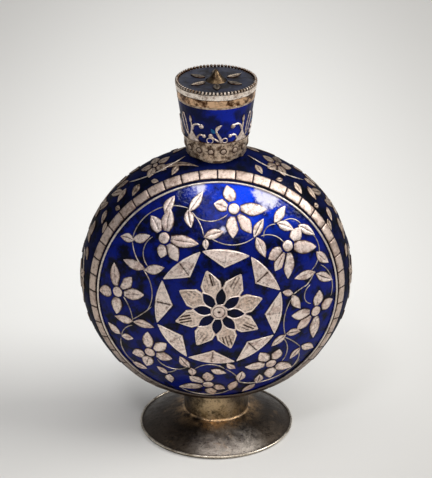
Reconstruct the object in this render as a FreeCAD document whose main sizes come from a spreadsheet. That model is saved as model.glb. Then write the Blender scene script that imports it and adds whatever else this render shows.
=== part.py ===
"""A silver and blue enamel rosewater sprinkler: a moon-shaped flask on a spreading foot, with a
tapered screw cap. Lengths are in millimetres. +Z is up, the front face looks along -Y, and the
origin is the middle of the foot's underside."""
import FreeCAD, Part

import math
import os
import Sketcher
from FreeCAD import Placement, Rotation, Vector

# ---------------------------------------------------------------- driving dimensions
SIZES = {
    # flask body: two shallow domes joined by a rounded band
    "body_radius": 43.0,
    "body_half_depth": 27.7,
    "edge_share": 0.65,
    "stem_rise": 5.3,
    "enamel_thickness": 0.4,
    "shell_thickness": 0.8,
    # silver laid on the enamel
    "silver_thickness": 0.28,
    "wire_width": 0.42,
    "wire_play": 0.03,
    "seam_wire_radius": 0.32,
    "tile_reach": 4.05,
    "tile_margin": 0.45,
    "tile_gap": 0.5,
    "tile_count": 44,
    # pattern, as shares of the face's radius at the seam
    "star_share": 0.53,
    "star_valley_share": 0.377,
    "rosette_tip_share": 0.377,
    "rosette_valley_share": 0.256,
    "rosette_hub_share": 0.0633,
    "almond_share": 0.089,
    "petal_share": 0.089,
    "leaf_share": 0.0727,
    "flower_eye_share": 0.0471,
    "rosette_turn_degrees": 15.6,
    # side band scroll
    "scroll_repeats": 10,
    "side_sway": 2.6,
    "side_petal": 4.2,
    "side_stalk": 1.8,
    "side_leaf": 5.4,
    "side_leaf_width": 2.0,
    # neck
    "neck_radius": 5.6,
    "neck_wall": 0.8,
    "neck_tail": 1.2,
    "neck_rise": 11.4,
    "neck_solder": 0.03,
    "collar_play": 0.3,
    "collar_rise": 0.3,
    "plate_thickness": 0.8,
    "plate_recess": 0.5,
    "plate_fill_hole": 1.5,
    "plate_drip_hole": 0.6,
    "plate_drip_circle": 3.0,
    "plate_drips": 6,
    # screw thread of soldered wire
    "thread_lead": 3.0,
    "thread_wire": 0.36,
    "thread_play": 0.12,
    "thread_clearance": 0.3,
    "thread_start": 4.6,
    "neck_thread_turns": 1.75,
    "cap_thread_turns": 1.5,
    # cap
    "cap_bottom_radius": 9.4,
    "cap_top_radius": 12.7,
    "cap_height": 22.6,
    "cap_overhang": 0.7,
    "cap_seat_gap": 0.1,
    "cap_skin": 0.5,
    "cap_band_inset": 0.05,
    "cap_wall": 0.7,
    "cap_sleeve_wall": 0.6,
    "base_band_height": 6.3,
    "boss_count": 16,
    "boss_radius": 1.05,
    "boss_rise": 0.3,
    "cap_wire": 0.6,
    "neck_band_height": 2.2,
    "rim_groove": 0.3,
    "rim_band_height": 1.7,
    "cap_enamel_recess": 0.1,
    "bead_radius": 0.52,
    "bead_count": 68,
    "bead_gap": 0.15,
    "bead_seat_share": 0.9,
    "top_plate_thickness": 0.7,
    "top_enamel_thickness": 0.3,
    "top_petals": 6,
    "top_petal_length": 5.6,
    "top_petal_width": 3.0,
    "top_petal_rise": 0.6,
    "top_petal_gap": 0.3,
    "finial_radius": 3.3,
    "finial_height": 3.9,
    "finial_tip": 0.55,
    "finial_waist_share": 0.55,
    "finial_shoulder_share": 0.42,
    "spray_count": 4,
    "spray_radius": 4.2,
    "cork_radius": 5.8,
    "cork_thickness": 1.6,
    "cork_play": 0.1,
    # stem and foot
    "stem_radius": 10.5,
    "stem_wall": 0.9,
    "foot_radius": 24.2,
    "foot_height": 5.9,
    "foot_shoulder": 18.8,
    "foot_brim": 3.7,
    "foot_edge": 0.9,
    "foot_sheet": 0.9,
    "shoulder_thinning": 0.4,
    "rim_wire_radius": 0.35,
}

# ---------------------------------------------------------------- sizes worked out from them
FITS = {
    "edge_arc": "Sizes.edge_share * Sizes.body_half_depth",
    "body_centre_height": "Sizes.foot_height + Sizes.stem_rise + Sizes.body_radius",
    "face_arc": "(Sizes.body_radius^2 + Sizes.body_half_depth^2 - 2 * Sizes.body_radius * edge_arc)"
                " / (2 * (Sizes.body_half_depth - edge_arc))",
    "face_centre": "face_arc - Sizes.body_half_depth",
    "edge_centre": "Sizes.body_radius - edge_arc",
    "lean_sin": "edge_centre / (face_arc - edge_arc)",
    "lean_cos": "face_centre / (face_arc - edge_arc)",
    "shell_depth": "Sizes.enamel_thickness + Sizes.shell_thickness",
    "shell_arc": "face_arc - Sizes.enamel_thickness",
    "inner_arc": "face_arc - shell_depth",
    "shell_edge_arc": "edge_arc - Sizes.enamel_thickness",
    "inner_edge_arc": "edge_arc - shell_depth",
    "enamel_seam_r": "face_arc * lean_sin",
    "enamel_seam_y": "face_arc * lean_cos - face_centre",
    "shell_seam_r": "shell_arc * lean_sin",
    "shell_seam_y": "shell_arc * lean_cos - face_centre",
    "inner_seam_r": "inner_arc * lean_sin",
    "inner_seam_y": "inner_arc * lean_cos - face_centre",
    "shell_pole": "Sizes.body_half_depth - Sizes.enamel_thickness",
    "inner_pole": "Sizes.body_half_depth - shell_depth",
    "star_radius": "Sizes.star_share * enamel_seam_r",
    "star_valley": "Sizes.star_valley_share * enamel_seam_r",
    "rosette_tip": "Sizes.rosette_tip_share * enamel_seam_r",
    "rosette_valley": "Sizes.rosette_valley_share * enamel_seam_r",
    "rosette_hub": "Sizes.rosette_hub_share * enamel_seam_r",
    "almond_width": "Sizes.almond_share * enamel_seam_r",
    "petal_width": "Sizes.petal_share * enamel_seam_r",
    "leaf_width": "Sizes.leaf_share * enamel_seam_r",
    "flower_eye": "Sizes.flower_eye_share * enamel_seam_r",
    "seam_wire_ring": "enamel_seam_r + Sizes.seam_wire_radius * lean_sin",
    "seam_wire_y": "enamel_seam_y + Sizes.seam_wire_radius * lean_cos",
    "body_top": "body_centre_height + Sizes.body_radius",
    "collar_top": "body_top + Sizes.collar_rise",
    "neck_foot": "body_top - shell_depth - Sizes.neck_tail",
    "neck_mouth": "body_top + Sizes.neck_rise",
    "neck_length": "neck_mouth - neck_foot",
    "neck_bore": "Sizes.neck_radius - Sizes.neck_wall",
    "neck_hole": "Sizes.neck_radius + Sizes.neck_solder",
    "plate_low": "neck_mouth - Sizes.plate_recess - Sizes.plate_thickness",
    "cork_low": "neck_mouth",
    "cap_foot": "collar_top - Sizes.cap_overhang",
    "cap_flange_low": "collar_top + Sizes.cap_seat_gap",
    "cap_flange_high": "cap_flange_low + Sizes.cap_sleeve_wall",
    "sleeve_bore": "Sizes.neck_radius + Sizes.thread_wire + Sizes.thread_clearance",
    "sleeve_outer": "sleeve_bore + Sizes.cap_sleeve_wall",
    "sleeve_roof": "neck_mouth + Sizes.cork_thickness + Sizes.cork_play",
    "sleeve_top": "sleeve_roof + Sizes.cap_sleeve_wall",
    "cap_top": "cap_foot + Sizes.cap_height",
    "cap_slope": "(Sizes.cap_top_radius - Sizes.cap_bottom_radius) / Sizes.cap_height",
    "base_band_top": "cap_foot + Sizes.base_band_height",
    "rim_band_low": "cap_top - Sizes.rim_band_height",
    "neck_band_top": "rim_band_low - Sizes.rim_groove",
    "neck_band_low": "neck_band_top - Sizes.neck_band_height",
    "cap_wire_low": "neck_band_low - Sizes.cap_wire",
    "top_plate_low": "cap_top - Sizes.top_plate_thickness",
    "cap_depth": "Sizes.cap_skin + Sizes.cap_wall",
    "collar_radius": "Sizes.cap_bottom_radius - cap_depth - Sizes.collar_play",
    "bead_ring": "Sizes.cap_top_radius - Sizes.cap_band_inset - Sizes.bead_radius",
    "top_enamel_radius": "bead_ring - Sizes.bead_radius - Sizes.bead_gap",
    "top_enamel_high": "cap_top + Sizes.top_enamel_thickness",
    "finial_waist": "Sizes.finial_radius * Sizes.finial_waist_share",
    "finial_shoulder": "cap_top + Sizes.finial_height * Sizes.finial_shoulder_share",
    "finial_top": "cap_top + Sizes.finial_height",
    "finial_ball": "finial_top - Sizes.finial_tip",
    "neck_thread_low": "body_top + Sizes.thread_start",
    "cap_thread_low": "neck_thread_low - 2 * Sizes.thread_wire - Sizes.thread_play",
    "foot_top_inner": "Sizes.foot_height - Sizes.foot_sheet",
    "foot_shoulder_in": "Sizes.foot_shoulder - Sizes.foot_sheet * Sizes.shoulder_thinning",
    "foot_brim_in": "Sizes.foot_brim - Sizes.foot_sheet",
    "stem_bore": "Sizes.stem_radius - Sizes.stem_wall",
    "foot_inner": "Sizes.foot_radius - Sizes.foot_edge",
    "stem_top": "body_centre_height - edge_centre",
    "stem_length": "stem_top - Sizes.foot_height",
}

# ---------------------------------------------------------------- pattern of the faces
# Places are (hundredths of the field's radius, degrees counter-clockwise from +X).
# A flower is its centre and five petals, each (length in hundredths, turn from the outward way).
FLOWERS = [
    ((74, 127), [(17, 358), (21, 308), (27, 228), (19, 176), (15, 133)]),
    ((83, 81), [(16, 28), (26, 273), (22, 226), (20, 186), (16, 86)]),
    ((76, 41), [(15, 6), (24, 304), (25, 229), (20, 198), (17, 164)]),
    ((83, -9), [(18, 90), (15, 31), (26, 276), (20, 228), (20, 184)]),
    ((74, -53), [(16, 119), (20, 23), (18, 323), (21, 233), (17, 176)]),
    ((81, -96), [(16, 190), (15, 71), (16, 22), (24, 291), (18, 243)]),
    ((74, -141), [(21, 235), (18, 184), (18, 130), (17, 42), (15, 343)]),
    ((84, 175), [(23, 281), (19, 238), (21, 192), (20, 92), (15, 20)]),
]
# A leaf runs from its root to its tip.
LEAVES = [
    ((88, 143), (96, 146)), ((88, 142), (82, 134)), ((70, 152), (85, 155)), ((68, 152), (58, 142)),
    ((74, -167), (87, -169)), ((72, -166), (58, -161)), ((89, -158), (95, -164)), ((88, -156), (80, -154)),
    ((82, -122), (81, -129)), ((82, -120), (90, -116)), ((63, -113), (57, -124)), ((64, -111), (72, -108)),
    ((84, 106), (94, 98)), ((84, 107), (73, 108)), ((63, 100), (66, 87)), ((61, 100), (54, 101)),
    ((89, 119), (96, 112)), ((68, 64), (81, 63)), ((67, 62), (59, 50)), ((84, 56), (96, 55)),
    ((84, 54), (87, 45)), ((92, 43), (96, 34)), ((91, 25), (96, 17)), ((83, 16), (68, 19)),
    ((85, 14), (96, 7)), ((62, 9), (55, 13)), ((62, 7), (68, -4)), ((63, -28), (59, -40)),
    ((64, -26), (74, -23)), ((84, -35), (84, -43)), ((85, -33), (96, -33)), ((78, -77), (68, -73)),
    ((79, -79), (90, -83)), ((89, -68), (80, -64)), ((90, -70), (96, -77)), ((61, -77), (54, -82)),
    ((61, -95), (65, -85)), ((96, -138), (91, -132)),
]
# A vine is an arc through three places.
VINES = [
    ((90, 141), (94, 126), (87, 108)), ((86, 145), (79, 149), (71, 152)), ((67, 154), (57, 165), (58, -179)),
    ((58, -178), (64, -173), (71, -169)), ((71, 148), (78, 142), (80, 135)),
    ((77, 179), (74, -176), (73, -170)),
    ((78, -163), (83, -161), (87, -158)), ((92, -153), (96, -144), (95, -137)),
    ((75, -131), (74, -123), (66, -115)),
    ((80, -122), (77, -120.5), (73.5, -119.5)), ((61, -107), (55, -98), (58, -87)),
    ((63, -82), (68, -79), (75, -77)),
    ((82, -76), (86, -72), (88, -69)), ((90, -67), (94, -55), (94, -44)), ((85, -37), (91, -41), (93, -44)),
    ((67, -30), (73, -31), (81, -33)), ((66, -32), (74, -38), (79, -45)), ((59, 2), (56, -11), (61, -25)),
    ((66, 9), (70, 10), (73.5, 10.6)), ((76, 11.3), (79, 13), (82, 15)),
    ((75, 8.6), (72, 4), (75, -2)),
    ((85, 19), (94, 26), (95, 36)), ((87, 52), (92, 49), (94, 44)), ((92, 16), (96, 9), (96, 0)),
    ((72, 58), (75, 53), (76, 46)), ((73, 59), (77, 59), (81, 57)), ((61, 95), (57, 78), (64, 66)),
    ((80, 104), (74, 102), (67, 101)), ((78, 103), (74, 96), (77, 86)), ((83, -79), (95, -89), (95, -108)),
]

# Angles and shares that shape the pattern.
PETAL_SPREAD = 34  # half the angle between a petal's sides at its root, degrees
SIDE_PETALS = 5
SIDE_FIRST_PETAL = 18  # degrees
SIDE_PETAL_FILL = 0.96  # a side petal's width, as a share of the flower's eye
SIDE_LEAF_LEAN = 43  # degrees from the band's own line
SIDE_LEAF_START = 0.5  # share of the sway
SIDE_VINE = [(-0.42, 1.2), (0.0, 2.4), (0.42, 1.2)]  # (share of the spacing, share of the sway)
STAR_POINTS = 8
ARC_STEPS = 80
SHORTEST_ARC = 0.12  # share of an arc, under which a piece of wire is left out
# Pieces of a spray on the cap: place aside, height, length, width and sideways tilt, all as shares
# of the spray's radius. The last stands alone between two sprays.
SPRAY = [
    (0.0, 0.52, 0.98, 0.72, 0.0),
    (-0.8, 0.8, 0.9, 0.17, -0.5),
    (0.8, 0.8, 0.9, 0.17, 0.5),
    (0.0, 1.5, 0.8, 0.12, 0.0),
    (1.95, 0.45, 0.75, 0.2, 0.0),
]

doc = FreeCAD.newDocument("rosewater_sprinkler")


# ---------------------------------------------------------------- sheets
def fill_sheet(name, cells, prefix=""):
    """A sheet with one aliased cell for each size."""
    sheet = doc.addObject("Spreadsheet::Sheet", name)
    for row, (alias, content) in enumerate(cells.items(), start=1):
        sheet.set(f"A{row}", alias)
        sheet.set(f"B{row}", prefix + str(content))
        sheet.setAlias(f"B{row}", alias)
    return sheet


sizes = fill_sheet("Sizes", SIZES)
doc.recompute()
fits = fill_sheet("Fits", FITS, "=")
doc.recompute()


def ref(alias):
    """The alias as an expression, with its sheet's name. A leading minus is kept."""
    sign = "-" if alias.startswith("-") else ""
    word = alias.lstrip("-")
    return f"{sign}{'Sizes' if word in SIZES else 'Fits'}.{word}"


def val(alias):
    """The number that the alias holds."""
    word = alias.lstrip("-")
    number = float((sizes if word in SIZES else fits).get(word))
    return -number if alias.startswith("-") else number


def bind(obj, **expressions):
    """Ties properties to expressions. A double underscore in a name stands for a dot."""
    for name, expression in expressions.items():
        obj.setExpression(name.replace("__", "."), expression)
    return obj


# ---------------------------------------------------------------- solids of revolution
def number(alias):
    return 0.0 if alias in ("axis", "ground") else val(alias)


def hold_point(sketch, geometry, end, across, up):
    """Fixes one end of a line or arc at (across, up)."""
    for kind, alias, line in (("DistanceX", across, -2), ("DistanceY", up, -1)):
        if alias in ("axis", "ground"):
            sketch.addConstraint(Sketcher.Constraint("PointOnObject", geometry, end, line))
            continue
        index = sketch.addConstraint(Sketcher.Constraint(kind, -1, 1, geometry, end, val(alias)))
        sketch.setExpression(f"Constraints[{index}]", ref(alias))


def outline(sketch, corners):
    """Draws a closed outline. A corner is (across, up) or (across, up, (centre across, centre up,
    radius)) when an arc runs from it to the next corner."""
    count = len(corners)
    for index, corner in enumerate(corners):
        following = corners[(index + 1) % count]
        start = Vector(number(corner[0]), number(corner[1]), 0)
        end = Vector(number(following[0]), number(following[1]), 0)
        if len(corner) == 2:
            sketch.addGeometry(Part.LineSegment(start, end))
            continue
        centre = Vector(number(corner[2][0]), number(corner[2][1]), 0)
        circle = Part.Circle(centre, Vector(0, 0, 1), val(corner[2][2]))
        first, last = circle.parameter(start), circle.parameter(end)
        if (last - first) % (2 * math.pi) > math.pi:
            first, last = last, first
        sketch.addGeometry(Part.ArcOfCircle(circle, first, last))
    for index, corner in enumerate(corners):
        before = (index - 1) % count
        point = Vector(number(corner[0]), number(corner[1]), 0)
        near, far = near_end(sketch, index, point), near_end(sketch, before, point)
        sketch.addConstraint(Sketcher.Constraint("Coincident", before, far, index, near))
        hold_point(sketch, index, near, corner[0], corner[1])
    for index, corner in enumerate(corners):
        if len(corner) == 3:
            place = sketch.addConstraint(Sketcher.Constraint("Radius", index, val(corner[2][2])))
            sketch.setExpression(f"Constraints[{place}]", ref(corner[2][2]))


def near_end(sketch, index, point):
    """1 or 2, for the end of that piece of outline that lies at the point."""
    edge = sketch.Geometry[index]
    return 1 if (edge.StartPoint - point).Length < (edge.EndPoint - point).Length else 2


def turned(label, corners, plane="XZ_Plane"):
    """A body made by turning an outline about the sketch's upright axis."""
    body = doc.addObject("PartDesign::Body", label)
    sketch = body.newObject("Sketcher::SketchObject", label + "_outline")
    base = next(f for f in body.Origin.OriginFeatures if f.Role == plane)
    sketch.AttachmentSupport = [(base, "")]
    sketch.MapMode = "FlatFace"
    outline(sketch, corners)
    turn = body.newObject("PartDesign::Revolution", label + "_turned")
    turn.Profile = sketch
    turn.ReferenceAxis = (sketch, ["V_Axis"])
    turn.Angle = 360
    sketch.Visibility = False
    return body


def raise_to_centre(obj, about=0):
    """Lifts something drawn about the flask's centre into place, turned about +Z."""
    obj.Placement = Placement(Vector(0, 0, val("body_centre_height")), Rotation(Vector(0, 0, 1), about))
    obj.setExpression("Placement.Base.z", ref("body_centre_height"))
    return obj


def cylinder(name, radius, height, **place):
    made = doc.addObject("Part::Cylinder", name)
    return bind(made, Radius=radius, Height=height, **place)


def cut(label, base, tool):
    made = doc.addObject("Part::Cut", label)
    made.Base = base
    made.Tool = tool
    return made


def group(label, shapes):
    """Several like pieces in one node."""
    made = doc.addObject("Part::Feature", label)
    made.Shape = Part.makeCompound(shapes)
    return made


NODES = []


def keep(obj):
    """Marks a finished sub-part and returns it."""
    NODES.append(obj)
    return obj


# ---------------------------------------------------------------- the flask's shells and enamel
FACE = ("axis", "-face_centre", "face_arc")
SHELL_FACE = ("axis", "-face_centre", "shell_arc")
INNER_FACE = ("axis", "-face_centre", "inner_arc")
EDGE = ("edge_centre", "ground", "edge_arc")
SHELL_EDGE = ("edge_centre", "ground", "shell_edge_arc")
INNER_EDGE = ("edge_centre", "ground", "inner_edge_arc")


def face_shell(side, about):
    """One silver dome, from its middle to the seam."""
    corners = [
        ("axis", "shell_pole", SHELL_FACE),
        ("shell_seam_r", "shell_seam_y"),
        ("inner_seam_r", "inner_seam_y", INNER_FACE),
        ("axis", "inner_pole"),
    ]
    return keep(raise_to_centre(turned(side + "_shell", corners, "XY_Plane"), about))


def face_enamel(side, about):
    """The enamel over one dome."""
    corners = [
        ("axis", "body_half_depth", FACE),
        ("enamel_seam_r", "enamel_seam_y"),
        ("shell_seam_r", "shell_seam_y", SHELL_FACE),
        ("axis", "shell_pole"),
    ]
    return keep(raise_to_centre(turned(side + "_enamel", corners, "XY_Plane"), about))


def side_band():
    """The rounded silver band between the domes, with the neck's hole."""
    corners = [
        ("shell_seam_r", "-shell_seam_y", SHELL_EDGE),
        ("shell_seam_r", "shell_seam_y"),
        ("inner_seam_r", "inner_seam_y", INNER_EDGE),
        ("inner_seam_r", "-inner_seam_y"),
    ]
    hoop = raise_to_centre(turned("side_hoop", corners, "XY_Plane"))
    hole = cylinder("neck_hole", ref("neck_hole"), ref("body_radius"))
    hole.setExpression("Placement.Base.z", ref("body_centre_height"))
    return keep(cut("side_band", hoop, hole))


def side_enamel():
    """The enamel round the band, left bare under the collar and the stem."""
    corners = [
        ("enamel_seam_r", "-enamel_seam_y", EDGE),
        ("enamel_seam_r", "enamel_seam_y"),
        ("shell_seam_r", "shell_seam_y", SHELL_EDGE),
        ("shell_seam_r", "-shell_seam_y"),
    ]
    hoop = raise_to_centre(turned("enamel_hoop", corners, "XY_Plane"))
    above = cylinder("collar_bed", ref("collar_radius"), ref("body_radius"))
    above.setExpression("Placement.Base.z", ref("body_centre_height"))
    below = cylinder("stem_bed", ref("stem_radius"), ref("body_centre_height"))
    beds = doc.addObject("Part::MultiFuse", "bare_beds")
    beds.Shapes = [above, below]
    return keep(cut("side_enamel", hoop, beds))


def body_core(name):
    """The whole flask inside the enamel, as one solid to cut with."""
    corners = [
        ("axis", "shell_pole", SHELL_FACE),
        ("shell_seam_r", "shell_seam_y", SHELL_EDGE),
        ("shell_seam_r", "-shell_seam_y", ("axis", "face_centre", "shell_arc")),
        ("axis", "-shell_pole"),
    ]
    return raise_to_centre(turned(name, corners, "XY_Plane"))


def seam_wire(side, about):
    """A bright wire round the seam between dome and band."""
    wire = doc.addObject("Part::Torus", side + "_seam_wire")
    way = 1 if about else -1
    wire.Placement = Placement(Vector(0, 0, 0), Rotation(Vector(1, 0, 0), 90))
    bind(wire, Radius1=ref("seam_wire_ring"), Radius2=ref("seam_wire_radius"))
    wire.setExpression("Placement.Base.y", f"{way} * Fits.seam_wire_y")
    wire.setExpression("Placement.Base.z", ref("body_centre_height"))
    return keep(wire)


# ---------------------------------------------------------------- silver on the faces
def in_face(place):
    """(x, z) from the middle of the face for (hundredths of the field's radius, degrees)."""
    share, degrees = place
    reach = share / 100 * val("enamel_seam_r")
    return reach * math.cos(math.radians(degrees)), reach * math.sin(math.radians(degrees))


def on_dome(across, up, above=0.0):
    """The point of the front dome over (across, up), from the flask's centre, and its outward way."""
    centre = Vector(0, val("face_centre"), 0)
    radius = val("face_arc")
    depth = math.sqrt(radius ** 2 - across ** 2 - up ** 2)
    way = Vector(across, -depth, up).normalize()
    return centre + way * (radius + above), way


def plate(corners_or_wire, place, outward, along, thickness):
    """A flat piece drawn on its own x and y, set down at a place with x along the given way."""
    across = outward.cross(along).normalize()
    level = across.cross(outward).normalize()
    turn = Placement(place, Rotation(level, across, outward, "ZXY"))
    solid = Part.Face(corners_or_wire).extrude(Vector(0, 0, thickness))
    solid.Placement = turn
    return solid


def leaf_wire(length, width):
    """Two arcs that meet in points, centred on the origin, along x."""
    left, right = Vector(-length / 2, 0, 0), Vector(length / 2, 0, 0)
    high = Part.Arc(left, Vector(0, width / 2, 0), right).toShape()
    low = Part.Arc(right, Vector(0, -width / 2, 0), left).toShape()
    return Part.Wire([high, low])


def disc_wire(radius):
    return Part.Wire([Part.Circle(Vector(0, 0, 0), Vector(0, 0, 1), radius).toShape()])


def leaf_on_face(root, tip, width, thickness):
    """A pointed leaf lying on the dome between two places given as (x, z)."""
    start, _ = on_dome(*root)
    end, _ = on_dome(*tip)
    middle, outward = on_dome((root[0] + tip[0]) / 2, (root[1] + tip[1]) / 2)
    return plate(leaf_wire((end - start).Length, width), middle, outward, end - start, thickness)


def flower_petals():
    shapes = []
    for centre, petals in FLOWERS:
        middle = in_face(centre)
        for length, turn in petals:
            way = math.radians(centre[1] + turn)
            reach = length / 100 * val("enamel_seam_r")
            near = val("flower_eye") + val("wire_width")
            root = (middle[0] + near * math.cos(way), middle[1] + near * math.sin(way))
            tip = (middle[0] + reach * math.cos(way), middle[1] + reach * math.sin(way))
            width = min(val("petal_width"), 2 * near * math.sin(math.radians(PETAL_SPREAD)))
            shapes.append(leaf_on_face(root, tip, width, val("silver_thickness")))
    return shapes


def flower_eyes():
    shapes = []
    disc = disc_wire(val("flower_eye"))
    for centre, _ in FLOWERS:
        middle, outward = on_dome(*in_face(centre))
        shapes.append(plate(disc, middle, outward, Vector(1, 0, 0), val("silver_thickness")))
    return shapes


def face_leaves():
    return [
        leaf_on_face(in_face(root), in_face(tip), val("leaf_width"), val("silver_thickness"))
        for root, tip in LEAVES
    ]


def bent_wire(arc, thick):
    """A round wire bent along an arc."""
    circle = arc.toShape().Curve
    start_way = arc.tangent(arc.FirstParameter)[0]
    profile = Part.Face(Part.Wire([Part.Circle(arc.value(arc.FirstParameter), start_way, thick).toShape()]))
    sweep = math.degrees(arc.LastParameter - arc.FirstParameter)
    return profile.revolve(circle.Center, circle.Axis, sweep)


def cleared(shape, others):
    """The shape without what it shares with the others, in solids."""
    near = [other for other in others if shape.BoundBox.intersect(other.BoundBox)]
    return shape.cut(Part.makeCompound(near)).Solids if near else [shape]


def open_arcs(arc, others, thick):
    """The stretches of an arc where a wire of that radius stays clear of the others."""
    near = [other for other in others if arc.toShape().BoundBox.intersect(other.BoundBox)]
    reach = thick + val("wire_play")
    span = arc.LastParameter - arc.FirstParameter
    stops = [arc.FirstParameter + span * step / ARC_STEPS for step in range(ARC_STEPS + 1)]
    runs, run = [], []
    for stop in stops:
        spot = Part.Vertex(arc.value(stop))
        if any(other.distToShape(spot)[0] < reach for other in near):
            runs.append(run)
            run = []
        else:
            run.append(stop)
    runs.append(run)
    return [
        Part.Arc(*(arc.value(stop) for stop in (run[0], (run[0] + run[-1]) / 2, run[-1])))
        for run in runs if len(run) > ARC_STEPS * SHORTEST_ARC
    ]


def laid_wires(places, thick, others):
    """A wire through three places, left out where it would run into the others."""
    return [bent_wire(arc, thick) for arc in open_arcs(Part.Arc(*places), others, thick)]


def face_vines(others):
    """Wires bent along circles of the dome, one through each three places."""
    thick = val("wire_width") / 2
    shapes = []
    for places in VINES:
        stations = [on_dome(*in_face(place), above=thick)[0] for place in places]
        shapes.extend(laid_wires(stations, thick, others))
    return shapes


def dome_layer(thickness):
    """The space that a thin sheet lying on the front dome fills."""
    centre = Vector(0, val("face_centre"), 0)
    outer = Part.makeSphere(val("face_arc") + thickness, centre)
    inner = Part.makeSphere(val("face_arc"), centre)
    return outer.cut(inner)


def drilled(corners, layer):
    """The part of a layer inside a closed outline of (x, z) points, or inside a wire."""
    if isinstance(corners, Part.Wire):
        wire = corners
    else:
        wire = Part.makePolygon([Vector(x, -val("body_radius"), z) for x, z in corners + corners[:1]])
    prism = Part.Face(wire).extrude(Vector(0, val("body_radius"), 0))
    return prism.common(layer)


def ring_of(shape, count, start=0.0):
    """Copies of a shape, spread evenly round the flask's front axis."""
    copies = []
    for index in range(count):
        turn = Rotation(Vector(0, 1, 0), -start - index * 360 / count)
        copies.append(shape.transformed(Placement(Vector(0, 0, 0), turn).toMatrix()))
    return copies


def polar(radius, degrees):
    return radius * math.cos(math.radians(degrees)), radius * math.sin(math.radians(degrees))


def star_segments(layer):
    """Eight silver pieces whose arcs make the medallion's circle and whose points make its star."""
    gap = val("wire_width") / 2
    radius = val("star_radius")
    lean = math.degrees(gap / radius)
    step = 360 / STAR_POINTS
    first, last = polar(radius, lean), polar(radius, step - lean)
    crest, valley = polar(radius, step / 2), polar(val("star_valley"), step / 2)
    depth = -val("body_radius")
    ends = [Vector(x, depth, z) for x, z in (first, crest, last, valley)]
    wire = Part.Wire([
        Part.Arc(ends[0], ends[1], ends[2]).toShape(),
        Part.makeLine(ends[2], ends[3]),
        Part.makeLine(ends[3], ends[0]),
    ])
    return ring_of(drilled(wire, layer), STAR_POINTS, val("rosette_turn_degrees"))


def rosette_petals(layer):
    """Eight broad petals with a point outwards, each cut back for the almonds beside it."""
    half = 180 / STAR_POINTS
    gap = val("wire_width")
    inner = val("rosette_hub") + gap
    root = polar(inner, 0)
    low = polar(val("rosette_valley") - gap, -half + math.degrees(gap / val("rosette_valley")))
    high = polar(val("rosette_valley") - gap, half - math.degrees(gap / val("rosette_valley")))
    tip = polar(val("rosette_tip"), 0)
    petal = drilled([root, low, tip, high], layer)
    almond = Part.Compound([drilled(almond_outline(), layer)])
    for side in (-half, half):
        turn = Placement(Vector(0, 0, 0), Rotation(Vector(0, 1, 0), side))
        petal = petal.cut(almond.transformed(turn.toMatrix()))
    return ring_of(petal, STAR_POINTS, val("rosette_turn_degrees"))


def almond_outline(inset=0.0):
    """The outline of an almond between hub and rosette valley, drawn in front of the face."""
    start = val("rosette_hub") + val("wire_width") / 2
    length = val("rosette_valley") - start
    wire = leaf_wire(length - 4 * inset, val("almond_width") / 2 - inset)
    middle = Vector(start + length / 2, -val("body_radius"), 0)
    wire.Placement = Placement(middle, Rotation(Vector(1, 0, 0), 90))
    return wire


def rosette_wires(layer):
    """Eight almond-shaped wires round cells of dark enamel."""
    wire = drilled(almond_outline(), layer).cut(drilled(almond_outline(val("wire_width")), layer))
    return ring_of(wire, STAR_POINTS, val("rosette_turn_degrees") + 180 / STAR_POINTS)


def rosette_hub(layer):
    rim = Part.Circle(Vector(0, -val("body_radius"), 0), Vector(0, 1, 0), val("rosette_hub")).toShape()
    return [drilled(Part.Wire([rim]), layer)]


def ring_tiles():
    """Silver tiles side by side round the edge of the face, on the band's shoulder."""
    centre = Vector(val("edge_centre"), 0, 0)
    radius = val("edge_arc")
    seam = math.atan2(val("enamel_seam_y"), val("enamel_seam_r") - val("edge_centre"))
    upper = seam - val("tile_margin") / radius - 2 * val("seam_wire_radius") / radius
    lower = upper - val("tile_reach") / radius
    thick = val("silver_thickness")

    def point(angle, reach):
        return centre + Vector(math.cos(angle), -math.sin(angle), 0) * reach

    middle = (upper + lower) / 2
    low, high = (
        [point(angle, reach) for angle in (upper, middle, lower)] for reach in (radius, radius + thick)
    )
    wire = Part.Wire([
        Part.Arc(*low).toShape(),
        Part.makeLine(low[2], high[2]),
        Part.Arc(*reversed(high)).toShape(),
        Part.makeLine(high[0], low[0]),
    ])
    count = round(val("tile_count"))
    pitch = 360 / count
    gap = math.degrees(val("tile_gap") / val("body_radius"))
    tile = Part.Face(wire).revolve(Vector(0, 0, 0), Vector(0, 1, 0), pitch - gap)
    stem = Part.makeCylinder(val("stem_radius"), val("body_radius"), Vector(0, 0, -val("body_centre_height")))
    return [piece for shape in ring_of(tile, count) for piece in cleared(shape, [stem])]


def lay_on(side, about, name, shapes):
    """Puts a group drawn on the front dome in place on the front or the back."""
    turn = Placement(Vector(0, 0, val("body_centre_height")), Rotation(Vector(0, 0, 1), about))
    return keep(group(f"{side}_{name}", [s.transformed(turn.toMatrix()) for s in shapes]))


# ---------------------------------------------------------------- silver on the side band
def on_band(degrees, aside, above=0.0):
    """A point of the band at that angle round it and that far from its middle line, and its outward way."""
    radius = val("edge_arc")
    lean = aside / radius
    round_way = Vector(math.cos(math.radians(degrees)), 0, math.sin(math.radians(degrees)))
    outward = round_way * math.cos(lean) + Vector(0, 1, 0) * math.sin(lean)
    return round_way * val("edge_centre") + outward * (radius + above), outward


def lowest_over_band(arc):
    """How near the band's surface an arc comes, along its middle line."""
    ring, radius = val("edge_centre"), val("edge_arc")
    span = arc.LastParameter - arc.FirstParameter
    points = [arc.value(arc.FirstParameter + span * step / ARC_STEPS) for step in range(ARC_STEPS + 1)]
    return min(math.hypot(math.hypot(p.x, p.z) - ring, p.y) - radius for p in points)


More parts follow.
